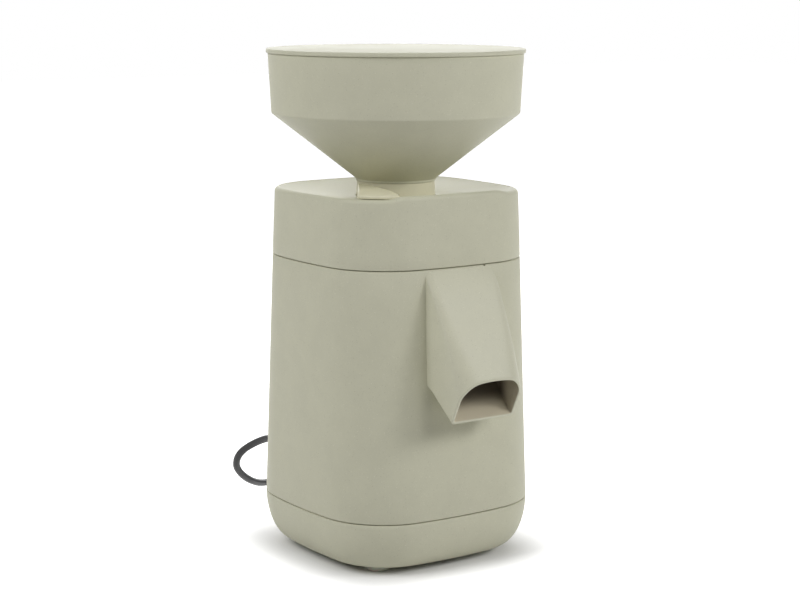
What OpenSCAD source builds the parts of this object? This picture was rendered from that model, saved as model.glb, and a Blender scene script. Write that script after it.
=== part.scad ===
// Electric stone grain mill: a rounded square housing with a slanted flour spout,
// a round hopper with a lid, and a grinding ring that is turned by a thumb lever.
// Millimetres, +Z up. The origin is on the mill's axis, in the plane that the feet stand on.
// The front, with the spout, faces -Y.

/* [Housing] */
// Half width of the housing at the seam between base and casing
base_half = 82.8; // [76:0.2:90]
// Half width of the housing at the seam between casing and head
head_half = 77.5; // [72:0.1:82.8]
// Half width of the head at its rim
rim_half = 76.0; // [71:0.1:77.5]
// Radius of the bulge of each side, seen from above
side_r = 356; // [250:1:600]
// Radius of the upright corners at the head
corner_r = 47.7; // [36:0.1:56]
// Radius of the upright corners at the base
base_corner_r = 50.3; // [38:0.1:58]
// Height of the seam between base and casing
base_seam_z = 39.3; // [34:0.1:46]
// Height of the seam between casing and head
head_seam_z = 211.1; // [204:0.1:216]
// Height of the head's rim at the back and the left
rim_z = 258.3; // [256:0.1:259]
// How far the deck lies below the rim at the neck
deck_dish = 5.3; // [4.6:0.1:5.8]
// How much higher the rim stands along the front
front_step = 2.2; // [0.5:0.1:3]
// Wall of the housing shells
wall = 2.6; // [2:0.1:3.4]
// Width of the open joint line between two shells
seam_gap = 0.6; // [0.3:0.1:1]
// Edge radius of the head's rim
rim_edge = 3; // [1:0.1:4]
// How far the bottom is drawn in from the base's half width
base_draw = 17; // [10:0.5:22]

/* [Feet] */
// Diameter of a foot
foot_d = 17.5; // [12:0.1:22]
// Height of a foot
foot_h = 4.5; // [3:0.1:8]
// Distance of a foot from each centre plane
foot_pos = 45.6; // [38:0.1:48]

/* [Hopper and lid] */
// Radius of the hopper at its mouth
hopper_r = 89; // [80:0.1:96]
// Radius of the hopper where its wall meets the cone
shoulder_r = 86.8; // [76:0.1:89]
// Height of the hopper's upright wall
hopper_wall_h = 41.5; // [30:0.1:60]
// Height of the hopper's cone
cone_h = 47; // [40:0.1:58]
// Height of the cone's lower end
cone_z = 263.6; // [263:0.1:266]
// Wall of the hopper
hopper_wall = 2.4; // [1.8:0.1:3]
// How far the lid stands over the hopper's mouth
lid_over = 1.2; // [0.5:0.1:4]
// Thickness of the lid's plate
lid_t = 2.9; // [2:0.1:4]
// Depth of the lid's centring ring
lid_ring_h = 5; // [3:0.1:10]

/* [Grinding ring and lever] */
// Radius of the grinding ring's neck
neck_r = 27.5; // [27:0.1:28]
// Radius of the feed thread
thread_r = 24; // [22:0.1:24.4]
// Reach of the lever from the axis
lever_reach = 80.4; // [60:0.1:82]
// Thickness of the lever
lever_t = 3.6; // [2.6:0.1:4]
// Direction of the lever, seen from above
lever_az = -132.5; // [-140:0.5:-128]

/* [Millstones] */
// Radius of both millstones
stone_r = 45; // [36:0.5:50]
// Thickness of a millstone
stone_t = 18; // [14:0.5:19]
// Gap between the stones at the finest setting
stone_gap = 0.3; // [0.3:0.1:0.8]
// Height of the lower stone's underside
stone_z = 187; // [186:0.1:188]
// Radius of the upper stone's eye
eye_r = 16; // [13:0.5:17]
// Number of furrows on each stone
furrows = 12; // [6:1:16]

/* [Spout] */
// Half width of the spout at the housing
spout_half = 28.3; // [24:0.1:32]
// Half width of the spout at its mouth
mouth_half = 26; // [22:0.1:28]
// Wall of the spout
spout_wall = 2.3; // [1.8:0.1:2.8]
// How far the mouth's upper edge stands in front of the axis
mouth_out = 118.5; // [112:0.1:126]
// How far the mouth's upper edge falls off at its sides
mouth_crown = 4; // [0:0.1:5]

/* [Motor] */
// Radius of the stator
stator_r = 52; // [46:0.5:53]
// Length of the stator's stack
stack_h = 44; // [34:1:48]
// Radius of the rotor
rotor_r = 32; // [28:0.5:34]
// Air gap between rotor and stator
air_gap = 0.4; // [0.4:0.1:0.8]
// Radius of the motor shaft
shaft_r = 6; // [5:0.5:7]
// Number of winding slots
slots = 24; // [12:4:28]
// Radius of the fan
fan_r = 42; // [34:1:50]

/* [Cord and switch] */
// Diameter of the cord
cord_d = 5.6; // [5:0.1:6.4]
// Height of the cord's exit
gland_z = 57; // [54:0.5:60]
// Place of the cord's exit across the back
gland_x = -32; // [-34:0.5:-30]
// Place of the switch across the back
switch_x = 28; // [16:0.5:36]
// Height of the switch
switch_z = 82; // [76:1:120]
// Width of the plug
plug_w = 35.3; // [33:0.1:37]
// Thickness of the plug
plug_t = 13.7; // [12.5:0.1:15]

/* [Hidden] */
$fn = 96;

eps = 0.01;
fit = 0.1;
lid_r = hopper_r + lid_over;
shoulder_z = cone_z + cone_h;
hopper_top_z = shoulder_z + hopper_wall_h;
run_fit = 0.06;
side_steps = 6;
corner_steps = 10;

body_tone = [0.70, 0.69, 0.61];
rubber_tone = [0.84, 0.84, 0.80];
steel_tone = [0.66, 0.67, 0.69];
black_tone = [0.06, 0.06, 0.065];
stone_tone = [0.86, 0.84, 0.80];
alloy_tone = [0.74, 0.75, 0.77];
copper_tone = [0.72, 0.38, 0.20];
grey_tone = [0.40, 0.40, 0.41];

function lerp(a, b, t) = a + (b - a) * t;
function smooth(t) = let (s = max(0, min(1, t))) s * s * (3 - 2 * s);
function turn(p, a) = [p.x * cos(a) - p.y * sin(a), p.x * sin(a) + p.y * cos(a)];

// ---- Rounded square with bulging sides ----
function corner_centre(h, rb, rc) =
    (sqrt(2 * (rb - rc) * (rb - rc) - (rb - h) * (rb - h)) - (rb - h)) / 2;
function side_point(h, rb, a) = [h - rb + rb * cos(a), rb * sin(a)];
function corner_point(c, rc, a) = [c + rc * cos(a), c + rc * sin(a)];
function quarter(h, rb, rc) =
    let (c = corner_centre(h, rb, rc))
    let (a1 = atan2(c, c + rb - h))
    concat([for (i = [0:side_steps - 1]) side_point(h, rb, lerp(-a1, a1, i / side_steps))],
           [for (i = [0:corner_steps - 1]) corner_point(c, rc, lerp(a1, 90 - a1, i / corner_steps))]);
function outline(h, rb, rc) = [for (k = [0:3]) for (p = quarter(h, rb, rc)) turn(p, 90 * k)];
function at_height(pts, z) = [for (p = pts) [p.x, p.y, z]];

// The housing's half width and corner radius at a height of the casing
function casing_half(z) = lerp(base_half, head_half, (z - base_seam_z) / (head_seam_z - base_seam_z));
function casing_corner(z) =
    lerp(base_corner_r, corner_r, (z - base_seam_z) / (head_seam_z - base_seam_z));
function casing_ring(z, inset) =
    at_height(outline(casing_half(z) - inset, side_r - inset, casing_corner(z) - inset), z);

// Triangles between rings of equal length; a closed skin joins its last ring to its first
function skin_faces(n, m, closed) = [
    for (j = [0:(closed ? m - 1 : m - 2)])
        for (i = [0:n - 1])
            let (a = j * n + i)
            let (b = j * n + (i + 1) % n)
            let (c = ((j + 1) % m) * n + (i + 1) % n)
            let (d = ((j + 1) % m) * n + i)
            each [[a, c, b], [a, d, c]]
];
module skin(rings, closed = false) {
    n = len(rings[0]);
    m = len(rings);
    caps = closed ? [] : [[for (i = [0:n - 1]) i], [for (i = [n - 1:-1:0]) (m - 1) * n + i]];
    polyhedron([for (r = rings) each r], concat(skin_faces(n, m, closed), caps));
}

module ring(ro, ri, h) {
    difference() {
        cylinder(r = ro, h = h);
        translate([0, 0, -eps]) cylinder(r = ri, h = h + 2 * eps);
    }
}
module at_corners(p) {
    for (sx = [-1, 1], sy = [-1, 1]) translate([sx * p, sy * p, 0]) children();
}
module at_sides(p) {
    for (k = [0:3]) rotate([0, 0, 90 * k]) translate([p, 0, 0]) children();
}

// ---- Feet ----
foot_peg_r = 3;
foot_peg_h = 5;
module rubber_feet() {
    color(rubber_tone) at_corners(foot_pos) {
        rotate_extrude() polygon([[0, 0], [foot_d / 2 - 1, 0], [foot_d / 2, 1], [foot_d / 2, foot_h],
            [foot_peg_r, foot_h], [foot_peg_r, foot_h + foot_peg_h], [0, foot_h + foot_peg_h]]);
    }
}

// ---- Base pan: the rounded bottom, an elliptical quarter under the base seam ----
bottom_z = foot_h;
pan_steps = 7;
pan_lip = 4.5;
lug_out = 58;
screw_r = 2;
lug_z = base_seam_z + 6;
lug_h = 12;
base_head_h = 2.6;
base_head_z = bottom_z + 2;
base_screw_l = lug_z + lug_h - 0.8 - base_head_z - base_head_h;
slot_pitch = 8;
slot_w = 4;
slot_l = 52;
function pan_inset(a) = base_draw * (1 - cos(a));
function pan_z(a) = base_seam_z - seam_gap - (base_seam_z - seam_gap - bottom_z) * sin(a);
function pan_corner(inset) = base_corner_r - inset * 0.75;
function pan_ring(z, inset) =
    at_height(outline(base_half - inset, side_r - inset * 0.75, pan_corner(inset)), z);
pan_outer = [for (i = [pan_steps:-1:0]) let (a = 90 * i / pan_steps) pan_ring(pan_z(a), pan_inset(a))];
pan_lip_out = wall + fit;
pan_inner = [for (i = [0:pan_steps]) let (a = 90 * i / pan_steps)
    pan_ring(max(pan_z(a), bottom_z + wall), pan_inset(a) + wall + 1.6)];
pan_bosses_top = lug_z - fit;
module base_pan() {
    color(body_tone) difference() {
        union() {
            skin(concat(pan_outer, [pan_ring(base_seam_z - seam_gap, pan_lip_out),
                pan_ring(base_seam_z + pan_lip, pan_lip_out),
                pan_ring(base_seam_z + pan_lip, wall + 1.6)], pan_inner));
            at_sides(lug_out) translate([0, 0, bottom_z + 1])
                cylinder(r = 6, h = pan_bosses_top - bottom_z - 1);
        }
        at_sides(lug_out) translate([0, 0, bottom_z - 1]) cylinder(r = 4.2, h = 8);
        at_sides(lug_out) translate([0, 0, bottom_z]) cylinder(r = screw_r + 0.2, h = 60);
        at_corners(foot_pos) translate([0, 0, bottom_z - 1]) cylinder(r = foot_peg_r, h = 12);
        for (i = [-4:4]) translate([i * slot_pitch - slot_w / 2, -slot_l / 2, bottom_z - 1])
            cube([slot_w, slot_l, 8]);
    }
}
module base_screws() {
    color(steel_tone) at_sides(lug_out) translate([0, 0, base_head_z])
        screw(3.9, base_head_h, screw_r, base_screw_l);
}
module screw(head_r, head_h, r, l) {
    difference() {
        cylinder(r = head_r, h = head_h);
        translate([-head_r * 0.6, -0.4, -1]) cube([head_r * 1.2, 0.8, 1 + head_h / 2]);
        translate([-0.4, -head_r * 0.6, -1]) cube([0.8, head_r * 1.2, 1 + head_h / 2]);
    }
    translate([0, 0, head_h - eps]) cylinder(r = r, h = l);
}

// ---- Main casing: the tall drafted shell ----
casing_top = head_seam_z - seam_gap / 2;
casing_edge = 0.6;
window_half = 23;
window_low = 174;
window_high = 201;
boss_pos = 54;
head_lug_z = 197;
plate_z = 170;
iso_h = 6;
boss_low = 146;
gland_r = 7;
switch_w = 22;
switch_h = 30;
function casing_diagonal(z) =
    sqrt(2) * corner_centre(casing_half(z), side_r, casing_corner(z)) + casing_corner(z);
module casing_lug(z, h, r) {
    web = casing_diagonal(z + h) - wall / 2 - boss_pos * sqrt(2);
    at_corners(boss_pos) translate([0, 0, z]) cylinder(r = r, h = h);
    for (k = [0:3]) rotate([0, 0, 45 + 90 * k]) translate([boss_pos * sqrt(2), -3, z]) cube([web, 6, h]);
}
module main_casing() {
    color(body_tone) difference() {
        union() {
            skin([casing_ring(base_seam_z, casing_edge), casing_ring(base_seam_z + casing_edge, 0),
                casing_ring(casing_top - casing_edge, 0), casing_ring(casing_top, casing_edge),
                casing_ring(casing_top, wall), casing_ring(base_seam_z, wall)], true);
            casing_lug(boss_low, plate_z - iso_h - boss_low, 7);
            casing_lug(head_lug_z, 9, 6);
            at_sides(lug_out) translate([0, 0, lug_z]) cylinder(r = 6, h = lug_h);
            at_sides(lug_out) translate([0, -4, lug_z]) cube([base_half - lug_out - wall, 8, lug_h]);
        }
        at_sides(lug_out) translate([0, 0, lug_z - 1]) cylinder(r = screw_r, h = lug_h + 2);
        at_corners(boss_pos) translate([0, 0, boss_low - 1]) cylinder(r = 2.5, h = 30);
        at_corners(boss_pos) translate([0, 0, head_lug_z - 1]) cylinder(r = screw_r + 0.2, h = 12);
        translate([-window_half, -head_half - 8, window_low])
            cube([2 * window_half, 20, window_high - window_low]);
        translate([20, -head_half - 2, casing_top - 1.4]) cube([1.1, 3.2, 3]);
        translate([gland_x, 60, gland_z]) rotate([-90, 0, 0]) cylinder(r = gland_r, h = 40);
        translate([switch_x - switch_w / 2, 60, switch_z - switch_h / 2]) cube([switch_w, 40, switch_h]);
    }
}

// ---- Head casing: the upper shell with a dished deck round the neck ----
deck_z = rim_z - deck_dish;
deck_t = 2.6;
neck_gap = 0.7;
head_bottom = head_seam_z + seam_gap / 2;
head_lip = 3.6;
step_left = -52;
step_left_run = 10;
step_right = 34;
step_right_run = 14;
function head_half_at(z) = lerp(head_half, rim_half, (z - head_seam_z) / (rim_z - head_seam_z));
function step_at(p) = p.y > 0 ? 0
    : front_step * smooth((p.x - step_left) / step_left_run)
        * (1 - smooth((p.x - step_right) / step_right_run));
function head_ring(z, inset) =
    at_height(outline(head_half_at(z) - inset, side_r - inset, corner_r - inset), z);
function raised(ring, share) = [for (p = ring) [p.x, p.y, p.z + share * step_at(p)]];
function to_circle(p, r) = p * r / norm(p);
function deck_ring(inset, r, share, z) = [
    for (p = outline(rim_half - inset, side_r - inset, corner_r - inset))
        let (q = lerp(p, to_circle(p, r), share))
        [q.x, q.y, z]
];
edge_steps = 4;
head_edge = [for (i = [0:edge_steps]) let (a = 90 * i / edge_steps)
    raised(head_ring(rim_z - rim_edge + rim_edge * sin(a), rim_edge * (1 - cos(a))), 1)];
ridge_in = rim_edge + 1.6;
deck_rim_in = rim_edge + 3.5;
hole_r = neck_r + neck_gap;
module head_casing() {
    color(body_tone) difference() {
        union() {
            skin(concat([head_ring(head_bottom, casing_edge), head_ring(head_bottom + casing_edge, 0)],
                head_edge,
                [deck_ring(ridge_in, hole_r, 0, rim_z - 0.3),
                deck_ring(deck_rim_in, hole_r, 0, rim_z - 0.5),
                deck_ring(deck_rim_in + 5, hole_r, 0, rim_z - 1.3),
                deck_ring(deck_rim_in + 5, hole_r, 0.5, lerp(deck_z, rim_z - 1.3, 0.5)),
                deck_ring(0, hole_r - 1, 1, deck_z),
                deck_ring(0, hole_r - 1, 1, deck_z - deck_t),
                deck_ring(deck_rim_in + 5, hole_r, 0.5, lerp(deck_z, rim_z - 1.3, 0.5) - deck_t),
                deck_ring(deck_rim_in + 1, hole_r, 0, rim_z - 1.3 - deck_t),
                head_ring(rim_z - rim_edge - deck_t - 1, wall),
                head_ring(head_bottom, wall + fit + 1.6),
                head_ring(head_bottom - head_lip, wall + fit + 1.6),
                head_ring(head_bottom - head_lip, wall + fit),
                head_ring(head_bottom, wall + fit)]), true);
            at_corners(boss_pos) translate([0, 0, head_lug_z + 9.2])
                cylinder(r = 5, h = rim_z - head_lug_z - 12.8);
        }
        translate([0, 0, deck_z - 5]) cylinder(r = hole_r, h = 8);
        at_corners(boss_pos) translate([0, 0, head_lug_z]) cylinder(r = screw_r, h = 36);
    }
}
module head_screws() {
    color(steel_tone) at_corners(boss_pos) translate([0, 0, head_lug_z - 2.7]) screw(3.9, 2.6, screw_r, 32);
}

// ---- Flour spout: a ruled hood from the housing's face to a slanted mouth ----
root_low = [-80.5, 131];
root_high = [-78, 210];
mouth_low = [-103, 110];
mouth_high = [-mouth_out, 141];
arc_steps = 6;
plate_t = 3.4;
collar_t = 2.1;
collar_l = 7.6;
collar_out = head_half + 4;
passage_l = 12;
root_sink = 6;
root_gap = 0.03;
root_top_r = 4;
mouth_top_r = 14;
low_corner_r = 3.2;
mouth_up = (mouth_high - mouth_low) / norm(mouth_high - mouth_low);
channel_low = [root_low.x - plate_t, root_low.y + 0.2];
channel_high = [root_high.x - plate_t, root_high.y - 10.2];
passage_back = 1.3;
passage_out = -channel_low.x - passage_back;
function box_arc(cx, cy, r, a0) = [for (i = [0:arc_steps]) let (a = a0 + 90 * i / arc_steps)
    [cx + r * cos(a), cy + r * sin(a)]];
function hood_outline(w, l, r_top, r_low) = concat(
    box_arc(w - r_low, r_low, r_low, -90),
    box_arc(w - r_top, l - r_top, r_top, 0),
    [for (i = [1:3]) [(w - r_top) * (1 - i / 2), l]],
    box_arc(r_top - w, l - r_top, r_top, 90),
    box_arc(r_low - w, r_low, r_low, 180));
function crowned(q, w, l, crown) =
    [q.x, q.y - crown * pow(q.x / w, 2) * max(0, min(1, 2 * q.y / l - 0.6))];
function hood_section(low, high, t, inset) =
    let (l = norm(high - low))
    let (dir = (high - low) / l)
    let (w = lerp(spout_half, mouth_half, t) - inset)
    let (plan = hood_outline(w, l, lerp(root_top_r, mouth_top_r, t) - inset, low_corner_r - inset))
    [for (p = plan) let (q = crowned(p, w, l, mouth_crown * pow(t, 3)))
        [q.x, low.x + dir.x * q.y, low.y + dir.y * q.y]];
function hood_ring(t) = hood_section(lerp(root_low, mouth_low, t), lerp(root_high, mouth_high, t), t, 0);
function channel_ring(t) = hood_section(lerp(channel_low, mouth_low + spout_wall * mouth_up, t),
    lerp(channel_high, mouth_high - spout_wall * mouth_up, t), t, spout_wall);
function hood_shift(ring, dy) = [for (p = ring) [p.x, p.y + dy, p.z]];
module casing_solid(gap) {
    skin([casing_ring(base_seam_z, -gap), casing_ring(head_seam_z + 4, -gap)]);
}
module outlet_spout() {
    color(body_tone) difference() {
        union() {
            difference() {
                skin([hood_shift(hood_ring(0), root_sink), hood_ring(0), hood_ring(0.5), hood_ring(1)]);
                casing_solid(root_gap);
            }
            translate([-window_half + fit, -collar_out, window_low + fit])
                cube([2 * (window_half - fit), collar_l, window_high - window_low - 2 * fit]);
        }
        skin([channel_ring(0), channel_ring(0.5), channel_ring(1), channel_ring(1.1)]);
        translate([-window_half + collar_t, -passage_out, window_low + collar_t])
            cube([2 * (window_half - collar_t), passage_l, window_high - window_low - 2 * collar_t]);
    }
}

// ---- Motor ----
plate_h = 4;
stack_low = 98;
stack_high = stack_low + stack_h;
bearing_r = 16;
bearing_w = 10;
bearing_low_z = 76;
bearing_high_z = 158;
race_r = 12.6;
hub_r = 9;
bolt_pos = 38;
plate_half = boss_pos + 9;
module motor_plate() {
    color(steel_tone) difference() {
        intersection() {
            translate([-plate_half, -plate_half, plate_z]) cube([2 * plate_half, 2 * plate_half, plate_h]);
            translate([0, 0, plate_z - 1]) cylinder(r = plate_half + 20, h = plate_h + 2);
        }
        translate([0, 0, plate_z - 1]) cylinder(r = bearing_r, h = plate_h + 2);
        at_corners(boss_pos) translate([0, 0, plate_z - 1]) cylinder(r = 2.6, h = plate_h + 2);
        at_corners(bolt_pos) translate([0, 0, plate_z - 1]) cylinder(r = 2.6, h = plate_h + 2);
    }
}
module motor_isolators() {
    color(black_tone) at_corners(boss_pos) {
        translate([0, 0, plate_z - iso_h]) cylinder(r = 7, h = iso_h);
        translate([0, 0, plate_z - iso_h - 6]) cylinder(r = 2.5, h = iso_h + 6);
        translate([0, 0, plate_z - 0.1]) cylinder(r = 2.6, h = plate_h + 0.1);
        translate([0, 0, plate_z + plate_h]) cylinder(r = 5, h = 3);
    }
}
module shield(low, h, seat_low, open_side) {
    difference() {
        union() {
            translate([0, 0, low]) cylinder(r = stator_r, h = 3.5);
            translate([0, 0, low]) cylinder(r = bearing_r + 5, h = h);
            at_corners(bolt_pos - 3) translate([0, 0, low]) cylinder(r = 6, h = 3.5);
        }
        translate([0, 0, seat_low]) cylinder(r = bearing_r, h = bearing_w + open_side);
        translate([0, 0, low - 1]) cylinder(r = race_r + 0.4, h = h + 2);
        at_corners(bolt_pos) translate([0, 0, low - 1]) cylinder(r = 2.6, h = h + 2);
        at_sides(36) translate([0, 0, low - 1]) cylinder(r = 8, h = 6);
    }
}
shield_boss_h = 14;
seat_open = 4;
upper_shield_low = 8;
upper_seat_low = 6;
module lower_shield() {
    color(alloy_tone) shield(bearing_low_z - 3, shield_boss_h, bearing_low_z, seat_open);
}
module upper_shield() {
    color(alloy_tone) translate([0, 0, plate_z + bearing_high_z + bearing_w - upper_shield_low])
        mirror([0, 0, 1]) shield(bearing_high_z + bearing_w - upper_shield_low, shield_boss_h,
            bearing_high_z + bearing_w - upper_seat_low, seat_open);
}
module stator_core() {
    color(steel_tone) difference() {
        translate([0, 0, stack_low]) ring(stator_r, rotor_r + air_gap, stack_h);
        for (k = [0:slots - 1]) rotate([0, 0, 360 * k / slots])
            translate([rotor_r + 2, -1.6, stack_low - 1]) cube([10, 3.2, stack_h + 2]);
        at_corners(bolt_pos - 2) translate([0, 0, stack_low - 1]) cylinder(r = 2.6, h = stack_h + 2);
    }
}
coil_h = 9;
module windings() {
    color(copper_tone) {
        for (z = [stack_low - coil_h - 0.2, stack_high + 0.2])
            translate([0, 0, z]) ring(rotor_r + 13, rotor_r + 2.4, coil_h);
        for (k = [0:slots - 1]) rotate([0, 0, 360 * k / slots])
            translate([rotor_r + 2.6, -1.4, stack_low - 1]) cube([9.2, 2.8, stack_h + 2]);
    }
}
module motor_bolts() {
    bolt_low = bearing_low_z - 7;
    color(steel_tone) at_corners(bolt_pos) {
        translate([0, 0, bolt_low]) cylinder(r = 2.5, h = plate_z + plate_h + 2 - bolt_low);
        translate([0, 0, bolt_low]) cylinder(r = 4.6, h = 4, $fn = 6);
    }
}
module at_bearings() {
    for (z = [bearing_low_z, bearing_high_z]) translate([0, 0, z]) children();
}
ball_r = 2.2;
ball_ring = 11;
module bearing_outer_rings() {
    color(steel_tone) at_bearings() rotate_extrude() difference() {
        translate([race_r, 0]) square([bearing_r - race_r, bearing_w]);
        translate([ball_ring, bearing_w / 2]) circle(r = ball_r + 0.05);
    }
}
module bearing_inner_rings() {
    color(steel_tone) at_bearings() rotate_extrude() difference() {
        translate([shaft_r, 0]) square([hub_r + 0.4 - shaft_r, bearing_w]);
        translate([ball_ring, bearing_w / 2]) circle(r = ball_r + 0.05);
    }
}
module bearing_balls() {
    color(steel_tone) at_bearings() for (k = [0:7]) rotate([0, 0, 45 * k])
        translate([ball_ring, 0, bearing_w / 2]) sphere(r = ball_r, $fn = 32);
}
shaft_low = 50;
carrier_low = 181.4;
shoulder_up = carrier_low + 0.6;
stub_l = 25;
module motor_shaft() {
    color(steel_tone) {
        translate([0, 0, shaft_low]) cylinder(r = shaft_r, h = shoulder_up - shaft_low);
        translate([0, 0, shoulder_up - 1]) cylinder(r = shaft_r - 1, h = stub_l + 1);
    }
}
module rotor_core() {
    color(alloy_tone) translate([0, 0, stack_low - 1]) {
        ring(rotor_r, shaft_r, stack_h + 2);
        for (k = [0:11]) rotate([0, 0, 30 * k])
            translate([rotor_r - 6, -1, stack_h + 2 - eps]) cube([5, 2, 5]);
    }
}
fan_low = shaft_low + 4;
fan_h = 15;
blade_t = 1.6;
blades = 11;
module cooling_fan() {
    color(black_tone) translate([0, 0, fan_low]) {
        ring(hub_r, shaft_r, fan_h);
        translate([0, 0, fan_h - 2]) ring(fan_r, hub_r - 1, 2);
        for (k = [1:blades]) rotate([0, 0, 360 * k / blades]) translate([hub_r - 1, -blade_t / 2, 1])
            cube([fan_r - hub_r - 1, blade_t, fan_h - 2]);
    }
}
can_r = 14;
can_h = 62;
can_pos = 52.2;
can_low = 66;
tab_gap = 4;
tab_h = 8;
module run_capacitor() {
    color(grey_tone) translate([can_pos, can_pos, can_low]) {
        cylinder(r = can_r, h = can_h);
        for (x = [-tab_gap, tab_gap]) translate([x, -1, can_h - eps]) cube([1, 5, tab_h]);
    }
}
block_size = [22, 14, 30];
block_corner = [-64, 40, 92];
block_pitch = 9;
module terminal_block() {
    color(rubber_tone) translate(block_corner) difference() {
        cube(block_size);
        for (k = [0:2]) translate([block_size.x / 2, -1, 6 + block_pitch * k]) rotate([-90, 0, 0])
            cylinder(r = 2, h = 9);
    }
}
module thermal_cutout() {
    color(black_tone) translate([0, -rotor_r - 8, stack_high + coil_h + 0.2]) cylinder(r = 5.5, h = 5);
}

// ---- Milling chamber ----
chamber_r = 56;
chamber_floor = plate_z + plate_h;
duct_half = 20;
duct_low = 178;
duct_high = 198;
duct_end = head_half - wall - 1.4;
chamber_rim = 209;
cover_screw_r = 1.6;
cover_head_r = 2.8;
cover_head_h = 2.4;
cover_screw_ring = chamber_r + 5.2;
module milling_chamber() {
    color(alloy_tone) difference() {
        union() {
            translate([0, 0, chamber_floor]) cylinder(r = chamber_r + 3, h = chamber_rim - chamber_floor);
            translate([0, 0, chamber_rim - 3]) cylinder(r = chamber_r + 7, h = 3);
            translate([-duct_half - 2, -duct_end, duct_low - 2])
                cube([2 * duct_half + 4, 40, duct_high - duct_low + 4]);
        }
        translate([0, 0, duct_low]) cylinder(r = chamber_r, h = 60);
        translate([-duct_half, -duct_end - 1, duct_low]) cube([2 * duct_half, 42, duct_high - duct_low]);
        translate([0, 0, chamber_floor - 1]) cylinder(r = 13, h = 10);
        at_sides(cover_screw_ring) translate([0, 0, chamber_rim - 9]) cylinder(r = cover_screw_r, h = 12);
        at_corners(bolt_pos) translate([0, 0, chamber_floor - 1]) cylinder(r = 4.8, h = 4);
    }
}
module shaft_seal() {
    color(black_tone) translate([0, 0, chamber_floor + 0.1]) ring(13, shaft_r + 0.5, 3.8);
}
cover_low = chamber_rim + 0.1;
cover_high = 241;
cover_t = 3;
pin_ring = 38;
pin_r = 2.5;
pin_hole_z = 230;
pin_hole_h = 20;
module chamber_cover() {
    color(alloy_tone) difference() {
        union() {
            translate([0, 0, cover_low]) cylinder(r = chamber_r + 3, h = cover_high - cover_low);
            translate([0, 0, cover_low]) cylinder(r = chamber_r + 7, h = 3);
        }
        translate([0, 0, chamber_rim]) cylinder(r = chamber_r, h = cover_high - cover_t - chamber_rim);
        translate([0, 0, chamber_rim]) cylinder(r = thread_r + 1, h = 60);
        at_pins() translate([0, 0, pin_hole_z]) cylinder(r = pin_r, h = pin_hole_h);
        at_sides(cover_screw_ring) translate([0, 0, chamber_rim]) cylinder(r = cover_screw_r + fit, h = 5);
        at_sides(cover_screw_ring) translate([0, 0, cover_low + 3])
            cylinder(r = cover_head_r + 0.3, h = 30);
    }
}
module cover_screws() {
    color(steel_tone) at_sides(cover_screw_ring) translate([0, 0, chamber_rim + 3.2 + cover_head_h])
        mirror([0, 0, 1]) screw(cover_head_r, cover_head_h, cover_screw_r, 7);
}
module at_pins() {
    for (k = [0:2]) rotate([0, 0, 120 * k + 60]) translate([pin_ring, 0, 0]) children();
}
pin_low = 226;
module guide_pins() {
    color(steel_tone) at_pins() translate([0, 0, pin_low]) cylinder(r = pin_r, h = cover_high - pin_low);
}

// ---- Thread springs: one helix round each guide pin ----
spring_wire = 1;
spring_r = 3.9;
spring_turns = 4;
holder_low = stone_z + 2 * stone_t + stone_gap;
disc_t = 5;
spring_low = holder_low + disc_t + spring_wire / 2 + 0.05;
spring_high = cover_high - cover_t - spring_wire / 2 - 0.05;
spring_rings = 8 * spring_turns;
function spring_point(i) = let (a = 360 * spring_turns * i / spring_rings)
    [spring_r * cos(a), spring_r * sin(a), lerp(spring_low, spring_high, i / spring_rings)];
function spring_section(i) = let (a = 360 * spring_turns * i / spring_rings)
    [for (k = [0:5]) let (b = 60 * k)
        [(spring_r + spring_wire / 2 * cos(b)) * cos(a), (spring_r + spring_wire / 2 * cos(b)) * sin(a),
        spring_point(i).z + spring_wire / 2 * sin(b)]];
module stone_springs() {
    color(steel_tone) at_pins() mirror([0, 1, 0]) skin([for (i = [0:spring_rings]) spring_section(i)]);
}

// ---- Millstones, carrier and holder ----
module stone_carrier() {
    color(alloy_tone) difference() {
        union() {
            translate([0, 0, carrier_low]) cylinder(r = stone_r - 2, h = stone_z - carrier_low);
            translate([0, 0, carrier_low]) cylinder(r = 11, h = 18);
        }
        translate([0, 0, carrier_low - 1]) cylinder(r = shaft_r - 1, h = 30);
        translate([0, 0, carrier_low - 1]) cylinder(r = shaft_r, h = 1.6);
        rotate([0, 0, 45]) at_sides(28) translate([0, 0, carrier_low - 1]) cylinder(r = 6, h = 4);
    }
}
module furrow_cuts(z) {
    for (k = [0:furrows - 1]) rotate([0, 0, 360 * k / furrows])
        translate([0, 9, z]) rotate([0, 0, 0]) cube([stone_r + 5, 3, 2], center = false);
}
module lower_stone() {
    color(stone_tone) difference() {
        translate([0, 0, stone_z]) ring(stone_r, 11, stone_t);
        translate([0, 0, stone_z + stone_t - 1.2]) furrow_cuts(0);
        translate([0, 0, stone_z + stone_t - 5]) cylinder(r1 = 14, r2 = 26, h = 5 + eps);
    }
}
module upper_stone() {
    upper_low = stone_z + stone_t + stone_gap;
    color(stone_tone) difference() {
        translate([0, 0, upper_low]) ring(stone_r, eye_r, stone_t);
        translate([0, 0, upper_low - 0.8]) furrow_cuts(0);
        translate([0, 0, upper_low - eps]) cylinder(r1 = 26, r2 = 17, h = 5);
    }
}
module stone_nut() {
    color(steel_tone) difference() {
        union() {
            translate([0, 0, carrier_low + 18]) cylinder(r = 10, h = 1.6);
            translate([0, 0, carrier_low + 19.6 - eps]) cylinder(r = 8.5, h = 7, $fn = 6);
        }
        translate([0, 0, carrier_low + 17]) cylinder(r = shaft_r - 1, h = 20);
    }
}
holder_top = 253;
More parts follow.
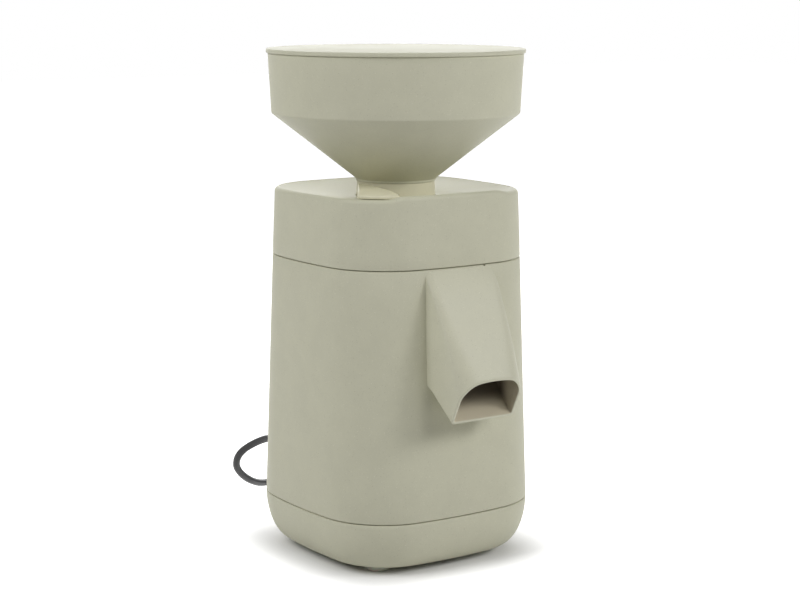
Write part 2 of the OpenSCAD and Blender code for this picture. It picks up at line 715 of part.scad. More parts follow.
module stone_holder() {
    color(alloy_tone) difference() {
        union() {
            translate([0, 0, holder_low]) cylinder(r = stone_r + 1.5, h = disc_t);
            translate([0, 0, holder_low]) cylinder(r = thread_r, h = holder_top - holder_low);
        }
        translate([0, 0, holder_low - 1]) cylinder(r = eye_r + 1, h = 60);
        at_pins() translate([0, 0, holder_low - 1]) cylinder(r = pin_r + run_fit, h = 20);
    }
}

// ---- Grinding ring, lever, hopper and lid ----
ring_low = cover_high + 0.1;
ring_top = cone_z - 0.3;
flange_t = 3;
module grinding_ring() {
    color(body_tone) difference() {
        union() {
            translate([0, 0, ring_low]) cylinder(r = neck_r, h = ring_top - ring_low);
            translate([0, 0, ring_low]) cylinder(r = neck_r + 8, h = flange_t);
        }
        translate([0, 0, ring_low - 1]) cylinder(r = thread_r + run_fit, h = 60);
        difference() {
            lever_plan(0.05);
            translate([0, 0, lever_low - 1]) cylinder(r = neck_r - lever_root, h = lever_t + 2);
        }
    }
}
lever_low = rim_z + 0.3;
lever_root = 1.2;
LEVER = [[7.6, -21.6], [9.9, -24.9], [17.1, -24.4], [79.1, -14.4], [88, -13], [86, 10], [79.2, 12.2],
    [76, 14.4], [66.5, 10.3], [54.5, 4.9], [44.5, -0.7], [34.8, -7.7], [23, -15.4], [17.9, -12.1]];
module lever_plan(gap) {
    translate([0, 0, lever_low - gap]) linear_extrude(lever_t + 2 * gap) rotate([0, 0, lever_az])
        intersection() {
            circle(r = lever_reach);
            polygon(LEVER);
        }
}
module thumb_lever() {
    color(body_tone) difference() {
        lever_plan(0);
        translate([0, 0, lever_low - 1]) cylinder(r = neck_r - 1.15, h = lever_t + 2);
    }
}
spigot_r = thread_r;
spigot_low = 256.5;
inner_r = spigot_r - 3;
module grain_hopper() {
    color(body_tone) rotate_extrude($fn = 128) polygon([
        [inner_r, spigot_low], [spigot_r, spigot_low], [spigot_r, cone_z - 0.2],
        [neck_r - 0.4, cone_z - 0.2], [neck_r + 0.6, cone_z + 1.2],
        [shoulder_r, shoulder_z], [hopper_r, hopper_top_z], [hopper_r - hopper_wall, hopper_top_z],
        [shoulder_r - hopper_wall, shoulder_z + 1.2], [inner_r, cone_z + 2.6]]);
}
module hopper_lid() {
    lid_low = hopper_top_z + 0.05;
    ring_r = hopper_r - hopper_wall - 0.5;
    color(body_tone) rotate_extrude($fn = 128) polygon([
        [0, lid_low], [ring_r - 2, lid_low], [ring_r - 2, lid_low - lid_ring_h],
        [ring_r, lid_low - lid_ring_h], [ring_r, lid_low], [lid_r - 0.8, lid_low],
        [lid_r, lid_low + 0.8], [lid_r, lid_low + lid_t - 0.9], [lid_r - 0.9, lid_low + lid_t],
        [0, lid_low + lid_t]]);
}

// ---- Switch on the back ----
function back_y(x, z) = casing_half(z) - side_r + sqrt(side_r * side_r - x * x);
switch_face = back_y(switch_x, switch_z);
pivot_y = switch_face - 3.5;
rocker_tilt = 9;
rocker_pin_r = 1.5;
bezel = 1.6;
module power_switch() {
    color(black_tone) difference() {
        union() {
            difference() {
                translate([switch_x - switch_w / 2 - bezel, switch_face - 3, switch_z - switch_h / 2 - bezel])
                    cube([switch_w + 2 * bezel, 3 + bezel, switch_h + 2 * bezel]);
                casing_solid(root_gap);
            }
            translate([switch_x - switch_w / 2 + fit, switch_face - 20, switch_z - switch_h / 2 + fit])
                cube([switch_w - 2 * fit, 21, switch_h - 2 * fit]);
        }
        translate([switch_x - switch_w / 2 + 2, switch_face - 13, switch_z - switch_h / 2 + 1.6])
            cube([switch_w - 4, 20, switch_h - 3.2]);
        translate([switch_x - switch_w, pivot_y, switch_z]) rotate([0, 90, 0])
            cylinder(r = rocker_pin_r + run_fit, h = 2 * switch_w);
    }
}
module switch_rocker() {
    color(black_tone) translate([switch_x, pivot_y, switch_z]) rotate([rocker_tilt, 0, 0]) {
        translate([-switch_w / 2 + 2.3, 0, 0]) rotate([90, 0, 90]) linear_extrude(switch_w - 4.6)
            polygon([[-6, -6], [3.4, -12.1], [5.2, -11.9], [3.4, 0], [5.2, 11.9], [3.4, 12.1], [-6, 6]]);
        translate([-switch_w / 2 + 0.4, 0, 0]) rotate([0, 90, 0])
            cylinder(r = rocker_pin_r, h = switch_w - 0.8);
    }
}

// ---- Cord: strain relief, free run, coil and plug ----
gland_face = back_y(gland_x, gland_z);
gland_end = mouth_out;
boot_r = 5.6;
boot_end_r = cord_d / 2 + 0.9;
boot_from = gland_face + 3.2;
grooves = 5;
groove_pitch = (gland_end - boot_from - 4) / grooves;
groove_w = 2;
function boot_at(y) = lerp(boot_r, boot_end_r, (y - boot_from) / (gland_end - boot_from));
module gland_body() {
    translate([gland_x, 0, gland_z]) rotate([-90, 0, 0]) rotate_extrude() difference() {
        polygon([[0, gland_face - 14], [gland_r - fit, gland_face - 14], [gland_r - fit, gland_face - 1.5],
            [gland_r + 1.6, gland_face - 1.5], [gland_r + 1.6, gland_face + 2], [boot_r, boot_from],
            [boot_end_r, gland_end], [0, gland_end]]);
        for (k = [0:grooves - 1]) let (y = boot_from + 3 + groove_pitch * k)
            translate([boot_at(y) - 0.9, y]) square([boot_r, groove_w]);
    }
}
module cord_gland() {
    color(black_tone) difference() {
        gland_body();
        difference() {
            casing_solid(root_gap);
            translate([gland_x, 0, gland_z]) rotate([-90, 0, 0]) cylinder(r = gland_r, h = 120);
        }
    }
}
cord_r = cord_d / 2;
floor_r = 2.85;
coil_x = 58;
coil_y = 168;
coil_mean = 31;
coil_turns = 5.25;
turn_pitch = 6.4;
coil_out = coil_mean + turn_pitch * coil_turns / 4;
coil_rings = 24 * coil_turns;
ROUTE = [
    [gland_x, gland_end, gland_z], [gland_x - 0.6, gland_end + 7.5, gland_z - 1], [-34.6, 133, 53.2],
    [-37.6, 139.3, 49.6], [-41.2, 144.6, 45.4], [-43.8, 148.7, 40.6], [-44.4, 152.2, 35],
    [-42.6, 155.4, 29.2], [-38.2, 158.6, 23.6], [-32, 162.2, 18.3], [-24.6, 166.6, 13.5],
    [-16.2, 172, 9.3], [-7.5, 178, 6.1], [1.6, 184.2, 4], [11, 190.3, 3],
    [20.5, 195.9, floor_r], [30.5, 200.8, floor_r], [40.5, 204.6, floor_r],
    [49.5, 206.8, floor_r], [coil_x, coil_y + coil_out, floor_r]];
function coil_z(t) = floor_r + turn_pitch * smooth((t - 180 * coil_turns + 90) / 180);
function coil_point(i) = let (t = 15 * i)
    let (r = coil_out - turn_pitch * min(t, 360 * coil_turns - t) / 360)
    [coil_x + r * cos(90 - t), coil_y + r * sin(90 - t), coil_z(t)];
coil_path = [for (i = [0:coil_rings]) coil_point(i)];
coil_last = coil_path[len(coil_path) - 1];
tail = [[coil_last.x, coil_last.y - 8, coil_last.z], [coil_last.x, coil_last.y - 18, coil_last.z - 1.4],
    [coil_last.x, coil_last.y - 27, plug_t / 2], [coil_last.x, coil_last.y - 33, plug_t / 2]];
wound = concat(coil_path, tail);
function unit(v) = v / norm(v);
function tangent(path, i) = unit(path[min(i + 1, len(path) - 1)] - path[max(i - 1, 0)]);
function tube_ring(path, i, sides, first, last) =
    let (t = i == 0 ? first : i == len(path) - 1 ? last : tangent(path, i))
    let (side = unit(cross([0, 0, 1], t)))
    let (up = cross(t, side))
    [for (k = [0:sides - 1]) let (a = 360 * (k + 0.5) / sides)
        path[i] + cord_r * (side * cos(a) + up * sin(a))];
module tube(path, sides, first, last) {
    skin([for (i = [len(path) - 1:-1:0]) tube_ring(path, i, sides, first, last)]);
}
module power_cord() {
    color(black_tone) tube(ROUTE, 10, [0, 1, 0], [1, 0, 0]);
}
module cord_coil() {
    color(black_tone) tube(wound, 6, [1, 0, 0], [0, -1, 0]);
}
least_gap = min([for (i = [0:len(coil_path) - 1]) for (j = [i + 12:1:len(coil_path) - 1])
    norm(coil_path[i] - coil_path[j])]) - cord_d;
echo(least_coil_gap = least_gap);

plug_rear = coil_last.y - 33;
plug_len = 35;
pin_gap = 18.6;
plug_at = [coil_last.x, plug_rear, plug_t / 2];
prong_r = 2;
prong_in = 10;
prong_out = 19;
module at_prongs() {
    for (side = [-1, 1]) translate([plug_at.x + side * pin_gap / 2, plug_rear - plug_len, plug_at.z])
        rotate([-90, 0, 0]) translate([0, 0, -1]) children();
}
module mains_plug() {
    color(black_tone) difference() {
        translate([plug_at.x, plug_at.y, 0]) linear_extrude(plug_t)
            polygon([[-5, 0], [5, 0], [8, -6], [plug_w / 2 - 1, -20], [plug_w / 2, -plug_len],
                [-plug_w / 2, -plug_len], [1 - plug_w / 2, -20], [-8, -6]]);
        for (s = [-1, 1]) translate([plug_at.x + s * plug_w, plug_rear - 12, -1])
            cylinder(r = plug_w / 2 + 2, h = plug_t + 2);
        at_prongs() cylinder(r = prong_r, h = prong_in + 1);
    }
}
module plug_pins() {
    color(steel_tone) at_prongs() translate([0, 0, 1 - prong_out])
        cylinder(r = prong_r, h = prong_in + prong_out);
}

rubber_feet();
base_pan();
base_screws();
main_casing();
head_casing();
head_screws();
outlet_spout();
motor_plate();
motor_isolators();
lower_shield();
upper_shield();
stator_core();
windings();
motor_bolts();
bearing_outer_rings();
bearing_inner_rings();
bearing_balls();
run_capacitor();
terminal_block();
thermal_cutout();
milling_chamber();
shaft_seal();
chamber_cover();
cover_screws();
guide_pins();
stone_springs();
power_switch();
switch_rocker();
cord_gland();
power_cord();
cord_coil();
mains_plug();
plug_pins();
motor_shaft();
rotor_core();
cooling_fan();
stone_carrier();
lower_stone();
stone_nut();
stone_holder();
upper_stone();
grinding_ring();
thumb_lever();
grain_hopper();
hopper_lid();
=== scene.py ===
"""Electric stone grain mill: housing shells, spout, hopper, lever, cord, springs and studio stage."""

import math

import bmesh
import bpy
from bpy.props import FloatProperty, FloatVectorProperty, PointerProperty
from mathutils import Matrix, Vector


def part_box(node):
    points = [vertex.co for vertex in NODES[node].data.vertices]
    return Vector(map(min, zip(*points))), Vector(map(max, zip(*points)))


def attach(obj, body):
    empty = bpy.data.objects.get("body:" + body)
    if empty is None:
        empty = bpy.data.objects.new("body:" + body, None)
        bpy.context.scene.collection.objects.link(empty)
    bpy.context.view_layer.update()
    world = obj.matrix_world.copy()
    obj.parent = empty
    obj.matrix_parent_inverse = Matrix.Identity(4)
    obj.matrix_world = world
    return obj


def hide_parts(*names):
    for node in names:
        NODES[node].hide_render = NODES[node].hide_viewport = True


bl_info = {
    "name": "Grain Mill",
    "version": (1, 0, 0),
    "blender": (4, 5, 0),
    "location": "View3D > Sidebar > Grain Mill",
    "description": "Builds an electric stone grain mill with its hopper, spout and cord",
    "category": "Add Mesh",
}

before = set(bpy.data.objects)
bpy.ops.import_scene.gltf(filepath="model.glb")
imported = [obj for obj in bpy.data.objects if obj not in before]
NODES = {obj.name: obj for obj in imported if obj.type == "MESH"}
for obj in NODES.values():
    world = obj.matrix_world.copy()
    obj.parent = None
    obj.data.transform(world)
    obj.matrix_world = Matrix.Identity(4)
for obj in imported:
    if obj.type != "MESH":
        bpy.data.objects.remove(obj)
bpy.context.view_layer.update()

SIDE_STEPS = 16      # points along a bulging side of the housing
CORNER_STEPS = 24    # points round one of its upright corners
ROUND_STEPS = 160    # points round the hopper, the lid and the neck
ROD_STEPS = 32       # points round a rod
EDGE_STEPS = 6       # sections round the lever's upper edge
EDGE_MID = 0.3       # where the middle section of a small rounded edge lies, as a share of its radius
NEAR = 1e-7          # points closer together than this are one
SMOOTH = math.radians(40)    # edges of blocks and rods sharper than this stay sharp


# ---- Settings ----

def length(name, default, description):
    """A length property in metres."""
    return FloatProperty(name=name, description=description, default=default, unit="LENGTH",
                         subtype="DISTANCE", precision=4, min=0.0)


def place(name, default, description):
    """A coordinate in metres, which may be negative."""
    return FloatProperty(name=name, description=description, default=default, unit="LENGTH", precision=4)


def degrees(name, default, description):
    """An angle property, given in degrees."""
    return FloatProperty(name=name, description=description, default=math.radians(default), subtype="ANGLE")


def power(name, default, description):
    """The power of a lamp, in watts."""
    return FloatProperty(name=name, description=description, default=default, unit="POWER")


def tint(name, default, description):
    """A colour property, written as it is seen on a screen and kept as linear light."""
    linear = [((c + 0.055) / 1.055) ** 2.4 if c > 0.04045 else c / 12.92 for c in default]
    return FloatVectorProperty(name=name, description=description, default=linear, subtype="COLOR",
                               size=3, min=0.0, max=1.0)


class MillHousing(bpy.types.PropertyGroup):
    """Sizes of the three housing shells."""
    base_half: length("Base half width", 0.0828, "Half width at the seam between base and casing")
    head_half: length("Head half width", 0.0775, "Half width at the seam between casing and head")
    rim_half: length("Rim half width", 0.0760, "Half width of the head at its rim")
    side_r: length("Side bulge radius", 0.356, "Radius of each bulging side, seen from above")
    corner_r: length("Head corner radius", 0.0477, "Radius of the upright corners at the head")
    base_corner_r: length("Base corner radius", 0.0503, "Radius of the upright corners at the base")
    base_seam: place("Base seam height", 0.0393, "Height of the seam between base and casing")
    head_seam: place("Head seam height", 0.2111, "Height of the seam between casing and head")
    rim_z: place("Rim height", 0.2583, "Height of the head's rim at the back and the left")
    front_step: length("Front step", 0.0022, "How much higher the rim stands along the front")
    wall: length("Wall", 0.0026, "Wall of the shells")
    seam_gap: length("Seam gap", 0.0006, "Width of the open joint line")
    rim_edge: length("Rim edge radius", 0.0030, "Edge radius of the head's rim")
    base_draw: length("Base draw", 0.0170, "How far the bottom is drawn in")
    foot_h: length("Foot height", 0.0045, "Height of the feet")
    foot_d: length("Foot diameter", 0.0175, "Diameter of a foot")
    foot_pos: length("Foot place", 0.0456, "Distance of a foot from each centre plane")
    deck_z: place("Deck height", 0.2530, "Height of the dished deck at the neck")


class MillHopper(bpy.types.PropertyGroup):
    """Sizes of the hopper, its lid, the neck and the lever."""
    mouth_r: length("Mouth radius", 0.0890, "Radius of the hopper at its mouth")
    shoulder_r: length("Shoulder radius", 0.0868, "Radius where the wall meets the cone")
    neck_r: length("Neck radius", 0.0275, "Radius of the neck below the cone")
    top_z: place("Mouth height", 0.3521, "Height of the hopper's mouth")
    shoulder_z: place("Shoulder height", 0.3106, "Height of the joint between wall and cone")
    cone_z: place("Cone foot height", 0.2636, "Height of the cone's lower end")
    wall: length("Wall", 0.0024, "Wall of the hopper")
    lid_r: length("Lid radius", 0.0902, "Radius of the lid")
    lid_t: length("Lid thickness", 0.0029, "Thickness of the lid's plate")
    lever_reach: length("Lever reach", 0.0804, "Reach of the lever from the axis")
    lever_t: length("Lever thickness", 0.0036, "Thickness of the lever")
    lever_az: degrees("Lever direction", -132.5, "Direction of the lever, seen from above")


class MillSpout(bpy.types.PropertyGroup):
    """Sizes of the flour spout."""
    root_half: length("Root half width", 0.0283, "Half width at the housing")
    mouth_half: length("Mouth half width", 0.0260, "Half width at the mouth")
    wall: length("Wall", 0.0023, "Wall of the spout")
    root_low: place("Root foot height", 0.1310, "Height of the root's lower edge")
    root_high: place("Root top height", 0.2100, "Height of the root's upper edge")
    mouth_low: place("Mouth foot height", 0.1100, "Height of the mouth's lower edge")
    mouth_high: place("Mouth top height", 0.1410, "Height of the mouth's upper edge")
    low_reach: length("Lower lip reach", 0.1030, "How far the lower lip stands in front of the axis")
    high_reach: length("Upper lip reach", 0.1185, "How far the upper lip stands in front of the axis")
    crown: length("Mouth crown", 0.0040, "How far the mouth's upper edge falls off at its sides")
    window_half: length("Window half width", 0.0209, "Half width of the passage through the casing")
    window_low: place("Window foot height", 0.1761, "Lower edge of the passage through the casing")
    window_high: place("Window top height", 0.1989, "Upper edge of the passage through the casing")


class MillCord(bpy.types.PropertyGroup):
    """Sizes of the cord, its strain relief and coil, the plug and the switch on the back."""
    diameter: length("Cord diameter", 0.0056, "Diameter of the flex")
    gland_x: place("Gland place", -0.032, "Place of the cord's exit across the back")
    gland_z: place("Gland height", 0.057, "Height of the cord's exit")
    gland_end: place("Gland end", 0.1185, "How far back the strain relief reaches")
    coil_x: place("Coil place across", 0.058, "Middle of the coil across the back")
    coil_y: place("Coil place behind", 0.168, "Middle of the coil behind the mill")
    coil_mean: length("Coil mean radius", 0.031, "Radius at the middle of the coil's turns")
    turn_pitch: length("Turn pitch", 0.0064, "Distance from one turn to the next")
    coil_turns: FloatProperty(name="Coil turns", description="Number of turns in the coil", default=5.25)
    plug_w: length("Plug width", 0.0353, "Width of the plug")
    plug_t: length("Plug thickness", 0.0137, "Thickness of the plug")
    switch_x: place("Switch place", 0.028, "Place of the switch across the back")
    switch_z: place("Switch height", 0.082, "Height of the switch")


class MillSprings(bpy.types.PropertyGroup):
    """Sizes of the springs round the guide pins."""
    coil_r: length("Coil radius", 0.0039, "Radius of the springs, to the middle of the wire")
    wire: length("Wire", 0.0010, "Diameter of the spring wire")
    pin_ring: length("Pin circle", 0.0380, "Radius of the circle on which the guide pins stand")
    closed: length("Closed pitch", 0.00105, "Rise of the closed turn at each end")


class MillFinish(bpy.types.PropertyGroup):
    """Colours of the finishes."""
    fibre: tint("Fibre plastic", (0.803, 0.798, 0.712), "Pressed natural-fibre plastic")
    # The ring and lever colours are lighter copies of the fibre plastic: painted light that brightens them
    # where the hopper shades them.
    ring: tint("Ring plastic", (0.84, 0.825, 0.725), "Creamier plastic of the ring")
    lever: tint("Lever plastic", (0.885, 0.87, 0.765), "Pale plastic of the thumb lever")
    fleck: tint("Dark fleck", (0.46, 0.42, 0.33), "Husk flecks in the plastic")
    pale_fleck: tint("Pale fleck", (0.90, 0.89, 0.82), "Pale fibres in the plastic")
    # The spout's inside is pale at the mouth and painted darker deeper in. The passage colour is painted
    # shade, and the two depths below set where that painted shade starts and where it is full.
    flour: tint("Spout lining", (0.79, 0.755, 0.66), "Inside of the spout at its mouth")
    passage: tint("Spout passage", (0.38, 0.345, 0.295), "Inside of the spout, deep behind its mouth")
    painted_shade_from: length("Painted shade start", 0.101, "How far in front of the axis the flour starts to thin")
    painted_shade_full: length("Painted shade full", 0.089, "How far in front of the axis the flour ends")
    foot: tint("Foot", (0.86, 0.85, 0.80), "Whitish rubber of the feet")
    flex: tint("Flex", (0.075, 0.075, 0.080), "Skin of the cord")
    black: tint("Black plastic", (0.10, 0.10, 0.105), "Plug and switch")
    steel: tint("Steel", (0.70, 0.70, 0.71), "Turned steel")
    alloy: tint("Cast alloy", (0.74, 0.74, 0.75), "Cast alloy")
    copper: tint("Copper", (0.78, 0.45, 0.26), "Lacquered windings")
    stone: tint("Millstone", (0.86, 0.84, 0.80), "Sintered ceramic stone")


class MillStage(bpy.types.PropertyGroup):
    """The camera, the lamps and the even light."""
    camera_az: degrees("Camera direction", -34.4013, "Angle from the front, to the left")
    camera_back: length("Camera distance", 1.3446, "Level distance from the mill's axis")
    camera_z: place("Camera height", 0.4025, "Height of the lens")
    camera_tilt: degrees("Camera tilt", 9.4919, "How far the camera looks down")
    camera_yaw: degrees("Camera yaw", 0.1173, "How far the camera turns to the right")
    camera_roll: degrees("Camera roll", -0.0976, "How far the camera leans")
    focal_px: FloatProperty(name="Focal length in pixels", description="For a picture 800 pixels wide",
                            default=1921.53)
    front_lamp: power("Front lamp", 5.3, "Power of the lamp in front")
    right_lamp: power("Right lamp", 9.8, "Power of the lamp at the right")
    left_lamp: power("Left lamp", 17.5, "Power of the lamp at the left")
    back_lamp: power("Back lamp", 11.0, "Power of the lamp behind the mill")
    sky: FloatProperty(name="Sky", description="Strength of the even light", default=0.045)


# ---- Mesh tools ----

def fresh():
    """Leaves edit mode and lets go of every object."""
    if bpy.context.object and bpy.context.object.mode != "OBJECT":
        bpy.ops.object.mode_set(mode="OBJECT")
    bpy.ops.object.select_all(action="DESELECT")


def start_section(name, points):
    """Adds a circle, puts its vertices on the first section and stays in edit mode."""
    fresh()
    bpy.ops.mesh.primitive_circle_add(vertices=len(points), radius=0.01, fill_type="NOTHING")
    obj = bpy.context.object
    obj.name = name
    obj.data.name = name
    bpy.ops.object.mode_set(mode="EDIT")
    bm = bmesh.from_edit_mesh(obj.data)
    order = bm.verts.layers.int.new("order")
    bm.verts.layers.int.new("ring")
    for index, vert in enumerate(bm.verts):
        vert[order] = index
        vert.co = points[index]
        vert.select_set(True)
    bm.select_flush(True)
    bmesh.update_edit_mesh(obj.data)
    return obj


def next_section(obj, points, number):
    """Extrudes the selected loop and puts the new vertices on the next section."""
    bpy.ops.mesh.extrude_edges_move()
    bm = bmesh.from_edit_mesh(obj.data)
    order = bm.verts.layers.int["order"]
    ring = bm.verts.layers.int["ring"]
    for vert in bm.verts:
        if vert.select:
            vert.co = points[vert[order]]
            vert[ring] = number
    bmesh.update_edit_mesh(obj.data)


def select_section(obj, points):
    """Selects the loop that lies on the given points."""
    bpy.ops.mesh.select_all(action="DESELECT")
    bm = bmesh.from_edit_mesh(obj.data)
    order = bm.verts.layers.int["order"]
    for vert in bm.verts:
        if (vert.co - points[vert[order]]).length < NEAR:
            vert.select_set(True)
    bm.select_flush(True)
    bmesh.update_edit_mesh(obj.data)


def finish_mesh(obj, angle):
    """Points the faces outwards and smooths all but sharp edges."""
    bpy.ops.mesh.select_all(action="SELECT")
    bpy.ops.mesh.remove_doubles(threshold=NEAR)
    bpy.ops.mesh.normals_make_consistent(inside=False)
    if bmesh.from_edit_mesh(obj.data).calc_volume(signed=True) < 0:
        bpy.ops.mesh.flip_normals()
    bpy.ops.object.mode_set(mode="OBJECT")
    bpy.ops.object.shade_smooth_by_angle(angle=math.radians(angle))
    return obj


def loft(name, sections, closed=False, angle=40.0):
    """A solid skin through sections of equal length: capped at both ends, or joined into a ring."""
    sections = [[Vector(p) for p in s] for s in sections]
    obj = start_section(name, sections[0])
    if not closed:
        bpy.ops.mesh.edge_face_add()
        select_section(obj, sections[0])
    for number, section in enumerate(sections[1:], 1):
        next_section(obj, section, number)
    if closed:
        next_section(obj, sections[0], 0)
    else:
        bpy.ops.mesh.edge_face_add()
    return finish_mesh(obj, angle)


def circle(radius, z, steps=ROUND_STEPS):
    """Points of a level circle round the mill's axis."""
    return [(radius * math.cos(math.tau * i / steps), radius * math.sin(math.tau * i / steps), z)
            for i in range(steps)]


def rounded(profile, radii, steps=4):
    """A profile of (radius, height) points with its corners turned into arcs of the given radii."""
    made = []
    count = len(profile)
    for i, point in enumerate(profile):
        here = Vector(point)
        radius = radii[i]
        if radius == 0:
            made.append(tuple(here))
            continue
        before = (Vector(profile[i - 1]) - here).normalized()
        after = (Vector(profile[(i + 1) % count]) - here).normalized()
        half = before.angle(after) / 2
        reach = radius / math.tan(half)
        centre = here + (before + after).normalized() * (radius / math.sin(half))
        first = here + before * reach - centre
        last = here + after * reach - centre
        sweep = first.angle_signed(last)
        for k in range(steps + 1):
            turn = Matrix.Rotation(-sweep * k / steps, 2)
            made.append(tuple(centre + turn @ first))
    return made


def revolve(name, profile, steps=ROUND_STEPS, closed=False, angle=30.0):
    """A profile of (radius, height) points turned about the mill's axis: closed, or capped near the axis."""
    return loft(name, [circle(r, z, steps) for r, z in profile], closed, angle)


def apply_modifier(obj, kind, **values):
    """Adds a modifier with the given values and applies it."""
    fresh()
    obj.select_set(True)
    bpy.context.view_layer.objects.active = obj
    modifier = obj.modifiers.new(kind.title(), kind)
    for key, value in values.items():
        setattr(modifier, key, value)
    bpy.ops.object.modifier_apply(modifier=modifier.name)


def block(name, low, high, bevel=0.0):
    """A box between two corners, with bevelled edges."""
    fresh()
    low, high = Vector(low), Vector(high)
    bpy.ops.mesh.primitive_cube_add(size=1)
    obj = bpy.context.object
    obj.name = name
    obj.data.transform(Matrix.Translation((low + high) / 2) @ Matrix.Diagonal((*(high - low), 1)))
    if bevel:
        bpy.ops.object.mode_set(mode="EDIT")
        bpy.ops.mesh.select_all(action="SELECT")
        bpy.ops.mesh.bevel(offset=bevel, segments=3, profile=0.5, affect="EDGES")
        bpy.ops.object.mode_set(mode="OBJECT")
        bpy.ops.object.shade_smooth_by_angle(angle=SMOOTH)
    return obj


def slab(name, x, z, half, front, back, bevel=0.0):
    """A box about a place on the mill's back: half its width and height, and its two depths."""
    wide, high = half
    return block(name, (x - wide, front, z - high), (x + wide, back, z + high), bevel)


def rod(name, start, end, radius):
    """A straight round bar between two points."""
    fresh()
    start, end = Vector(start), Vector(end)
    along = end - start
    bpy.ops.mesh.primitive_cylinder_add(vertices=ROD_STEPS, radius=radius, depth=along.length)
    obj = bpy.context.object
    obj.name = name
    turn = along.to_track_quat("Z", "Y").to_matrix().to_4x4()
    obj.data.transform(Matrix.Translation((start + end) / 2) @ turn)
    bpy.ops.object.shade_smooth_by_angle(angle=SMOOTH)
    return obj


def cut(obj, *cutters):
    """Takes the cutters out of a piece and deletes them."""
    for cutter in cutters:
        apply_modifier(obj, "BOOLEAN", operation="DIFFERENCE", solver="EXACT", object=cutter)
        bpy.data.objects.remove(cutter)


def join(name, first, *others):
    """Joins objects into one piece and names it."""
    fresh()
    for obj in (first, *others):
        obj.select_set(True)
    bpy.context.view_layer.objects.active = first
    bpy.ops.object.join()
    first.name = name
    return first


def quarter_turn(steps):
    """Angles from 0 to a right angle in even steps."""
    return [math.pi / 2 * i / steps for i in range(steps + 1)]


def smooth_step(t):
    """A soft rise from 0 to 1."""
    t = max(0.0, min(1.0, t))
    return t * t * (3 - 2 * t)


def mix(a, b, t):
    """The value or vector between a and b."""
    return a + (b - a) * t


def hand_over(obj, finish, body, slot, *nodes):
    """Gives a piece its finish and body, and hides the CAD nodes that it stands for; its slot is not used."""
    obj.data.materials.clear()
    obj.data.materials.append(finishes()[finish])
    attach(obj, body)
    if nodes:
        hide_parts(*nodes)


# ---- Springs of the upper stone ----

SPRING_TURNS = 4
TURN_STEPS = 20      # sections in each turn
WIRE_STEPS = 10      # points round the wire
PIN_ANGLES = [math.radians(angle) for angle in (60, 180, 300)]


def spring_levels(s):
    """Heights of the wire's middle at each whole turn: closed turns at the ends, open ones between."""
    low, high = (corner[2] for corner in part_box("stone_springs"))
    low, high = low + s.wire / 2, high - s.wire / 2
    return [low, low + s.closed, mix(low, high, 0.5), high - s.closed, high]


def spring_part(s, name, pin, first, last):
    """The turns of one spring from first to last."""
    levels = spring_levels(s)
    middle = s.pin_ring * Vector((math.cos(pin), math.sin(pin), 0))
    sections = []
    for step in range(first * TURN_STEPS, last * TURN_STEPS + 1):
        turn = step / TURN_STEPS
        whole = min(int(turn), SPRING_TURNS - 1)
        height = mix(levels[whole], levels[whole + 1], turn - whole)
        out = Vector((math.cos(pin - math.tau * turn), math.sin(pin - math.tau * turn), 0))
        sections.append([middle + out * (s.coil_r + s.wire / 2 * math.cos(b))
                         + Vector((0, 0, height + s.wire / 2 * math.sin(b)))
                         for b in (math.tau * k / WIRE_STEPS for k in range(WIRE_STEPS))])
    return loft(name, sections, angle=60)


def build_springs(s):
    """The springs, split at half height: the lower turns rise with the stone into the open middle."""
    half = SPRING_TURNS // 2
    for name, body, first, nodes in (("spring_lower_turns", "stone_slide", 0, []),
                                     ("spring_upper_turns", "housing", half, ["stone_springs"])):
        parts = [spring_part(s, f"{name}_{k}", pin, first, first + half) for k, pin in enumerate(PIN_ANGLES)]
        turns = join(name, *parts)
        turns.data.name = name
        hand_over(turns, "Turned steel", body, "steel", *nodes)


# ---- Rounded square with bulging sides ----

def outline(half, bulge, corner, z):
    """Points of the housing's outline at a height, anticlockwise."""
    flat = bulge - half
    centre = (math.sqrt(2 * (bulge - corner) ** 2 - flat ** 2) - flat) / 2
    edge = math.atan2(centre, centre + flat)
    points = []
    for quarter in range(4):
        turn = Matrix.Rotation(quarter * math.pi / 2, 2)
        for i in range(SIDE_STEPS):
            a = mix(-edge, edge, i / SIDE_STEPS)
            points.append(turn @ Vector((bulge * math.cos(a) - flat, bulge * math.sin(a))))
        for i in range(CORNER_STEPS):
            a = mix(edge, math.pi / 2 - edge, i / CORNER_STEPS)
            points.append(turn @ Vector((centre + corner * math.cos(a), centre + corner * math.sin(a))))
    return [(p.x, p.y, z) for p in points]


def casing_share(h, z):
    """0 at the base seam and 1 at the head seam."""
    return (z - h.base_seam) / (h.head_seam - h.base_seam)


def casing_ring(h, z, inset=0.0):
    """The tall shell's outline at a height."""
    share = casing_share(h, z)
    half = mix(h.base_half, h.head_half, share) - inset
    return outline(half, h.side_r - inset, mix(h.base_corner_r, h.corner_r, share) - inset, z)


def casing_face(h, x, z):
    """How far the casing's face stands from the axis at a place across a side."""
    half = mix(h.base_half, h.head_half, casing_share(h, z))
    return half - h.side_r + math.sqrt(h.side_r ** 2 - x ** 2)


def head_ring(h, z, inset=0.0):
    """The head's outline at a height."""
    share = (z - h.head_seam) / (h.rim_z - h.head_seam)
    half = mix(h.head_half, h.rim_half, share) - inset
    return outline(half, h.side_r - inset, h.corner_r - inset, z)


# Where the head's raised front rim starts and ends, across the front, and how far each end takes to rise.
STEP_LEFT = -0.052
STEP_LEFT_RUN = 0.010
STEP_RIGHT = 0.034
STEP_RIGHT_RUN = 0.014


def raised(h, ring, share):
    """Lifts the front of a ring by a share of the front step."""
    lifted = []
    for x, y, z in ring:
        rise = 0.0
        if y < 0:
            rise = smooth_step((x - STEP_LEFT) / STEP_LEFT_RUN)
            rise *= 1 - smooth_step((x - STEP_RIGHT) / STEP_RIGHT_RUN)
        lifted.append((x, y, z + share * h.front_step * rise))
    return lifted


